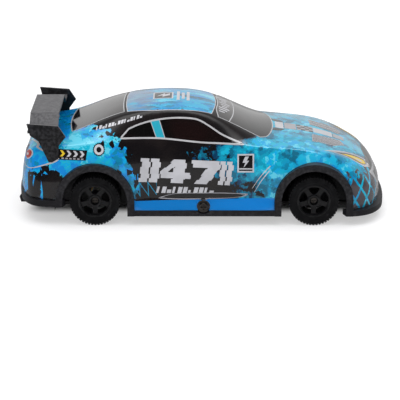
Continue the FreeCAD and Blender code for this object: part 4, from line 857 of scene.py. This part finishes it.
def door_symbol(sheet):
    """Boxed bolt ahead of each race number."""
    x0, z0, x1, z1 = 76.0, 29.4, 84.8, 38.9
    edge = 0.75
    outer = from_hub(box_loop(x0, z0, x1, z1))
    core = from_hub(box_loop(x0 + edge, z0 + 2.2, x1 - edge, z1 - edge))
    foot = from_hub(box_loop(x0 + edge, z0 + edge, x1 - edge, z0 + 1.6))
    for facing, turn in FLANKS:
        sheet.lay([outer, core, foot], facing, "white", layer=2)
        for panel in (core, foot):
            sheet.lay([panel], facing, "black", layer=2)
        bolt = lightning((x0 + x1) / 2, (z0 + z1) / 2 + 0.7, 3.1, turn)
        sheet.lay([from_hub(bolt)], facing, "white", layer=3)


def fuel_ring(sheet):
    """Round filler mark on each rear quarter: notched black ring, white ring and dark centre."""
    u, v = from_hub([(2.6, 41.5)])[0]
    steps = 72
    star = []
    for i in range(steps):
        radius = (3.3 if i % 4 < 2 else 2.9) * MM
        angle = math.tau * i / steps
        star.append((u + radius * math.cos(angle), v + radius * math.sin(angle)))
    core = ring(u, v, 1.35 * MM)
    sheet.lay([star], "sides", "black")
    sheet.lay([ring(u, v, 2.55 * MM), core], "sides", "white", layer=2)
    sheet.lay([core], "sides", "black", layer=2)


def quarter_badge(sheet):
    """Black badge with yellow and white chevrons behind each filler mark."""
    middle, low, high = -11.6, 35.8, 41.0
    marks = [([(-8.0, low), (7.2, low + 0.2), (8.0, high), (-7.4, high)], "black", 2)]
    chevron = ((0, 1.7), (1.4, 1.7), (2.7, 3.2), (1.4, 4.7), (0, 4.7), (1.3, 3.2))
    for k, colour in enumerate(("yellow", "white", "white", "white")):
        a = -6.6 + 3.5 * k
        marks.append(([(a + p, low + q) for p, q in chevron], colour, 3))
    for k in range(6):
        a = -5.8 + 2.1 * k
        marks.append((box_loop(a, low + 0.45, a + 1.3, low + 1.15), "grey", 3))
    for facing, turn in FLANKS:
        for shape, colour, layer in marks:
            loop = from_hub((middle + a * turn, b) for a, b in shape)
            sheet.lay([loop], facing, colour, layer=layer)


def fender_lines(sheet):
    """Pair of pale slanted lines on each front fender, thinning downwards."""
    for shift in (0.0, 2.1):
        line = curve_through(from_hub((
            (93.2 - shift * 0.2, 33.0 - shift * 1.2), (88.0 + shift * 0.3, 27.0 - shift),
            (83.9 + shift * 0.6, 20.6 - shift),
        )), closed=False)
        width, drop = 0.55 * MM, 0.2 * MM
        far = [(u + width * (1 - i / len(line)), v - drop) for i, (u, v) in enumerate(line)]
        sheet.lay([line + far[::-1]], "sides", "white", layer=2)


def door_crease(sheet):
    """Raised blade low on each door, fullest in its middle."""
    top = [(34.0, 15.1), (43.0, 17.3), (57.6, 17.7), (70.0, 17.7), (81.6, 17.2)]
    low = [(78.0, 15.9), (67.8, 15.0), (50.8, 14.5), (42.0, 14.6)]
    outline = curve_through(from_hub(top + low), corners=(0, 4))
    (start, _), (end, _) = from_hub((top[0], top[-1]))
    foot, height, fullest = 14.5 * MM, 3.2 * MM, 0.8 * MM

    def crown(u, v):
        along = max(0.0, min(1.0, (u - start) / (end - start)))
        up = max(0.0, min(1.0, (v - foot) / height))
        return fullest * math.sin(math.pi * along) * math.sin(math.pi * up ** 1.6)

    sheet.framed(outline, "sides", "black", "grey", 0.7, spacing=0.6 * MM, relief=crown)


def headlamps(sheet):
    """Swept headlamp print: white line, grey lens, yellow and dark inserts."""
    outline = curve_through(from_hub((
        (122.5, -29.0), (131, -23.2), (139.5, -18.6), (146.6, -15.8), (148.2, -20.0), (145.0, -25.4),
        (140.5, -27.2), (133, -27.4),
    )), corners=(0, 3, 5))
    middle = [sum(p[k] for p in outline) / len(outline) for k in (0, 1)]
    sheet.lay([outline], "halves", "white")
    inserts = ((0.84, 0.0, "grey"), (0.66, 1.2, "black"), (0.52, 2.2, "yellow"), (0.20, 3.4, "white"))
    for layer, (share, shift, colour) in enumerate(inserts, 2):
        insert = [
            (middle[0] + (u - middle[0]) * share + shift * MM, middle[1] + (v - middle[1]) * share)
            for u, v in outline
        ]
        sheet.lay([insert], "halves", colour, layer=layer)


def nose_face(sheet):
    """Dark mask between the lamps, silver grille frame with dark openings, and the smoked lower intake."""
    mask = from_middle(((-19.0, 28.6), (0, 30.4), (19.0, 28.6), (22.6, 25.4), (0, 24.6), (-22.6, 25.4)))
    sheet.lay([curve_through(mask, corners=(0, 2, 3, 5))], "front", "black")
    grille = from_middle(((-25.4, 25.2), (0, 24.6), (25.4, 25.2), (20.4, 16.6), (-20.4, 16.6)))
    openings = ((-19.6, 18.2, -11.4, 23.4), (-10.0, 18.0, 10.0, 23.2), (11.4, 18.2, 19.6, 23.4))
    slots = [from_middle(box_loop(*opening)) for opening in openings]
    sheet.lay([grille] + slots, "front", "silver", layer=2)
    for slot in slots:
        sheet.lay([slot], "front", "black")
    intake = curve_through(from_middle((
        (-25, 15.8), (-12, 16.0), (0, 16.0), (12, 16.0), (25, 15.8), (27.0, 11.8), (0, 11.0), (-27.0, 11.8),
    )), corners=(0, 4, 5, 7))
    sheet.framed(intake, "front", "black", "silver", 0.6)


def hood_vents(sheet):
    """Dark hatched vents on the bonnet with thin pale rims."""
    outline = from_hub(((117.0, -19.8), (117.6, -9.2), (132.8, -6.2), (134.8, -12.0), (128.6, -18.2)))
    pitch, rise, sweep = 1.7 * MM, 0.35 * MM, 0.6

    def slats(u, v):
        return rise * abs(((u + sweep * abs(v)) / pitch) % 1 - 0.5)

    sheet.framed(outline, "halves", "vent", "silver", 0.6, spacing=0.4 * MM, relief=slats)


def hood_stripe(sheet):
    """Broken centre stripe on the bonnet: white, grey and chequered blocks."""
    for x0, x1, half, colour in (
        (97.5, 102.0, 5.6, "white"), (102.6, 109.0, 5.2, "grey"), (118.6, 129.0, 4.0, "white"),
        (129.6, 135.5, 3.2, "grey"),
    ):
        sheet.lay([from_hub(box_loop(x0, -half, x1, half))], "top", colour)
    for row in range(4):
        for column in range(4):
            x, y = 109.4 + 2.25 * row, -4.8 + 2.4 * column
            shade = "black" if (row + column) % 2 else "grey"
            sheet.lay([from_hub(box_loop(x, y, x + 2.2, y + 2.35))], "top", shade)
    wedge = from_hub(((96.6, 6.4), (103.0, 6.1), (100.4, 9.6), (95.2, 11.0)))
    sheet.lay([wedge], "halves", "black")


def tail_lamps(sheet):
    """Two round lamps in a silver outline at each rear corner, each a ringed lens with a pale centre."""
    swell = 0.35 * MM
    for side in (1, -1):
        cluster = [
            (15.5, 37.2), (19.5, 41.4), (28.0, 42.0), (35.0, 38.6), (36.4, 33.6), (33.0, 30.0), (22.0, 31.6),
        ]
        cluster = curve_through(from_middle((y * side, z) for y, z in cluster))
        sheet.lay(band(cluster, LINE * 0.6), "rear", "silver", layer=2)
        for y, z, radius, colour in ((29.6, 36.8, 2.7, "red"), (21.8, 37.4, 2.6, "black")):
            u, v, unit = y * side * MM, z * MM, radius * MM

            def dome(a, b, u=u, v=v, unit=unit):
                share = min(1.0, math.hypot(a - u, b - v) / unit)
                return swell * (1 - share * share)

            lens, spot = ring(u, v, unit * 0.82), ring(u, v, unit * 0.26)
            sheet.lay([ring(u, v, unit), lens], "rear", "silver", layer=2)
            sheet.lay([lens], "rear", colour, layer=2, spacing=0.5 * MM, relief=dome)
            sheet.lay([spot], "rear", "white", layer=3, spacing=0.5 * MM, relief=dome)


for artwork in (
    side_windows, windscreen, rear_window, roof_panel, race_number, mark_rows, door_symbol, fuel_ring,
    quarter_badge, fender_lines, door_crease, headlamps, nose_face, hood_vents, hood_stripe, tail_lamps,
):
    printed = Print(artwork.__name__)
    artwork(printed)
    printed.done()


# ---- wheel wells


def well_panels():
    """Thin black panels that close the wheel wells from the open inside of the shell."""
    mesh = bmesh.new()
    thick = 0.8 * MM

    def panel(outline, inner, side):
        rows = [[mesh.verts.new((x, side * y, z)) for x, z in outline] for y in (inner, inner + thick)]
        mesh.faces.new(rows[0])
        mesh.faces.new(rows[1][::-1])
        for k in range(len(outline)):
            after = (k + 1) % len(outline)
            mesh.faces.new((rows[0][k], rows[1][k], rows[1][after], rows[0][after]))

    radius, foot, steps = 20.4 * MM, 24.0 * MM, 24
    arch_inner, wall_inner = 24.0 * MM, 20.2 * MM
    for side in (1, -1):
        for hub in (REAR_HUB, FRONT_HUB):
            start = math.asin((foot - hub.z) / radius)
            arc = [start + (math.pi - 2 * start) * i / steps for i in range(steps + 1)]
            rim = [(hub.x + radius * math.cos(a), hub.z + radius * math.sin(a)) for a in arc]
            panel(rim, arch_inner, side)
        for hub, forward, near in ((FRONT_HUB, 1, 4.0), (REAR_HUB, -1, 6.0)):
            wall = ((near, 7.1), (19, 7.1), (19.4, 14), (18, 20), (14, 24.5), (9, 26.5), (near, 27))
            panel([(hub.x + forward * x * MM, z * MM) for x, z in wall], wall_inner, side)
    piece = add_piece("well_panels", closed_mesh("well_panels", mesh, FINISHES["black_trim"]))
    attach(piece, "chassis")


well_panels()


# ---- tyres


def tyre_mesh():
    """Block-treaded tyre round the origin, its axle along Y."""
    low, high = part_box("rear_tyre_right")
    rim_low, rim_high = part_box("rear_rim_right")
    radius, half = (high.z - low.z) / 2, (high.y - low.y) / 2
    bore = (rim_high.z - rim_low.z) / 2 + 0.04 * MM
    seat = (rim_high.y - rim_low.y) / 2 - 0.2 * MM
    groove = radius - 0.6 * MM
    wall = half - 0.1 * MM
    side = [
        (bore, seat), (bore + 0.5 * MM, seat + 0.3 * MM), (bore + 0.8 * MM, seat + 0.15 * MM),
        (bore + 1.5 * MM, wall), (bore + 1.8 * MM, wall), (bore + 2.0 * MM, wall - 0.25 * MM),
        (groove - 0.5 * MM, wall - 0.1 * MM), (groove - 0.1 * MM, wall - 0.35 * MM),
        (groove, wall - 0.8 * MM),
    ]
    profile = side + [(groove, wall * share) for share in (0.68, 0.60, 0.22, 0.14)]
    profile += [(r, -y) for r, y in reversed(profile)]
    segments = 144
    mesh = bmesh.new()
    rings = []
    for i in range(segments):
        angle = math.tau * i / segments
        rings.append([mesh.verts.new((r * math.cos(angle), y, r * math.sin(angle))) for r, y in profile])
    raised = []
    count = len(profile)
    shoulder, inner = len(side) - 2, len(side) + 1
    for i in range(segments):
        here, after = rings[i], rings[(i + 1) % segments]
        for k in range(count):
            face = mesh.faces.new((here[k], here[(k + 1) % count], after[(k + 1) % count], after[k]))
            face.smooth = k < shoulder or k >= count - 1 - shoulder
            mirror = min(k, count - 2 - k)
            phase = i if k == mirror else i + 2
            shoulder_block = mirror in (shoulder, shoulder + 1) and phase % 3
            inner_block = mirror == inner and (phase + 1) % 4
            centre_block = k == count // 2 - 1 and i % 6
            if shoulder_block or inner_block or centre_block:
                raised.append(face)
    lifted = bmesh.ops.extrude_face_region(mesh, geom=raised)["geom"]
    for vertex in (item for item in lifted if isinstance(item, bmesh.types.BMVert)):
        reach = math.hypot(vertex.co.x, vertex.co.z)
        grow = min(radius, max(reach + 0.55 * MM, radius - 0.05 * MM)) / reach
        vertex.co.x *= grow
        vertex.co.z *= grow
    bmesh.ops.delete(mesh, geom=raised, context="FACES")
    return closed_mesh("treaded_tyre", mesh, FINISHES["tyre"])


def tyres():
    """A treaded tyre in place of each plain CAD one."""
    shared = tyre_mesh()
    for node, body in (
        ("rear_tyre_left", "rear_axle"), ("rear_tyre_right", "rear_axle"),
        ("front_tyre_left", "front_wheel_left"), ("front_tyre_right", "front_wheel_right"),
    ):
        piece = add_piece("treaded_" + node, shared)
        piece.location = centre(node)
        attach(piece, body)
        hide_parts(node)


tyres()


# ---- stage, light and camera


def floor():
    """Plain pale floor under the wheels that fades into the white surroundings."""
    graph = Graph("pale_floor")
    far = (graph.x * graph.x + graph.y * graph.y).root().rise(350, 1100)
    seen, glossy = graph.rays()
    tone = graph.mix(graph.noise(400.0), (0.84, 0.84, 0.85), (0.88, 0.88, 0.89))
    for share, colour in (
        (seen, (0.60, 0.60, 0.61)), (glossy, (0.30, 0.30, 0.30)), (far, (0.05, 0.05, 0.05)),
    ):
        tone = graph.mix(share, tone, colour)
    # the ground between the wheels keeps its shade
    beneath = graph.x.size().rise(98, 88) * graph.y.size().rise(24, 12)
    glow = far * (seen * 0.55 + 0.35) + seen * (beneath * -0.45 + 0.45)
    grain = graph.bump(graph.noise(3.0), 0.1, 0.02)
    half = 12.0
    mesh = bpy.data.meshes.new("floor")
    mesh.from_pydata([(x, y, 0) for x, y in box_loop(-half, -half, half, half)], [], [(0, 1, 2, 3)])
    mesh.materials.append(graph.finish(tone, 0.6, grain, shine=0.1, glow=glow))
    add_piece("floor", mesh)


def surroundings():
    """White studio whose gloss reflections are bright above the car and to its left, dark to its right."""
    graph = Graph("studio", bpy.data.worlds)
    bpy.context.scene.world = graph.material
    _, y, z = graph.split(graph.direction)
    lit = z.rise(-0.2, 0.8) * 0.26 + 0.54
    strip = z.rise(0.88, 0.97) * y.rise(-0.10, -0.01) * y.rise(0.36, 0.22)
    mirrored = y.rise(-0.02, 0.40) * (z.rise(0.9, 0.1) * 0.15 + 0.47) + strip * 3.2 + 0.03
    seen, glossy = graph.rays()
    strength = lit + (mirrored - lit) * glossy
    strength = strength + (strength * -1 + 1) * seen
    background = graph.node("Background", Color=PURE_WHITE, Strength=strength)
    graph.node("OutputWorld", Surface=Wire(graph, background.outputs[0]))


def aimed(name, data, place, aim):
    """A lamp or camera at a place, looking at its aim."""
    piece = add_piece(name, data)
    piece.location = place
    piece.rotation_euler = (aim - place).to_track_quat("-Z", "Y").to_euler()
    return piece


def lights():
    """Large soft lamps overhead, on the left and low on the right, none of them seen in reflections."""
    middle = (CAD_BOX[0] + CAD_BOX[1]) / 2
    for name, offset, width, height, power in (
        ("overhead", (0, -0.15, 1.1), 1.4, 1.0, 7),
        ("behind", (0.2, 1.3, 0.9), 1.6, 0.9, 4),
        ("front", (-0.5, -1.3, 0.5), 0.9, 0.7, 3),
    ):
        lamp = bpy.data.lights.new(name, "AREA")
        lamp.shape = "RECTANGLE"
        lamp.size, lamp.size_y, lamp.energy = width, height, power
        aimed(name, lamp, middle + Vector(offset), middle).visible_glossy = False


def camera():
    """Long lens level with the car's flank, looking slightly down and aimed below the car."""
    elevation, distance = math.radians(18), 0.845
    middle = Vector((0, 0, SHELL_HIGH.z * 0.493))
    off_centre = Vector((-0.0011, -0.0088, -0.0271))
    data = bpy.data.cameras.new("camera")
    data.lens, data.sensor_width = 136.9, 36
    data.clip_start, data.clip_end = 0.05, 60
    place = middle + Vector((0, -math.cos(elevation), math.sin(elevation))) * distance
    bpy.context.scene.camera = aimed("camera", data, place, middle + off_centre)


floor()
surroundings()
lights()
camera()
bpy.context.scene.view_settings.view_transform = "Standard"
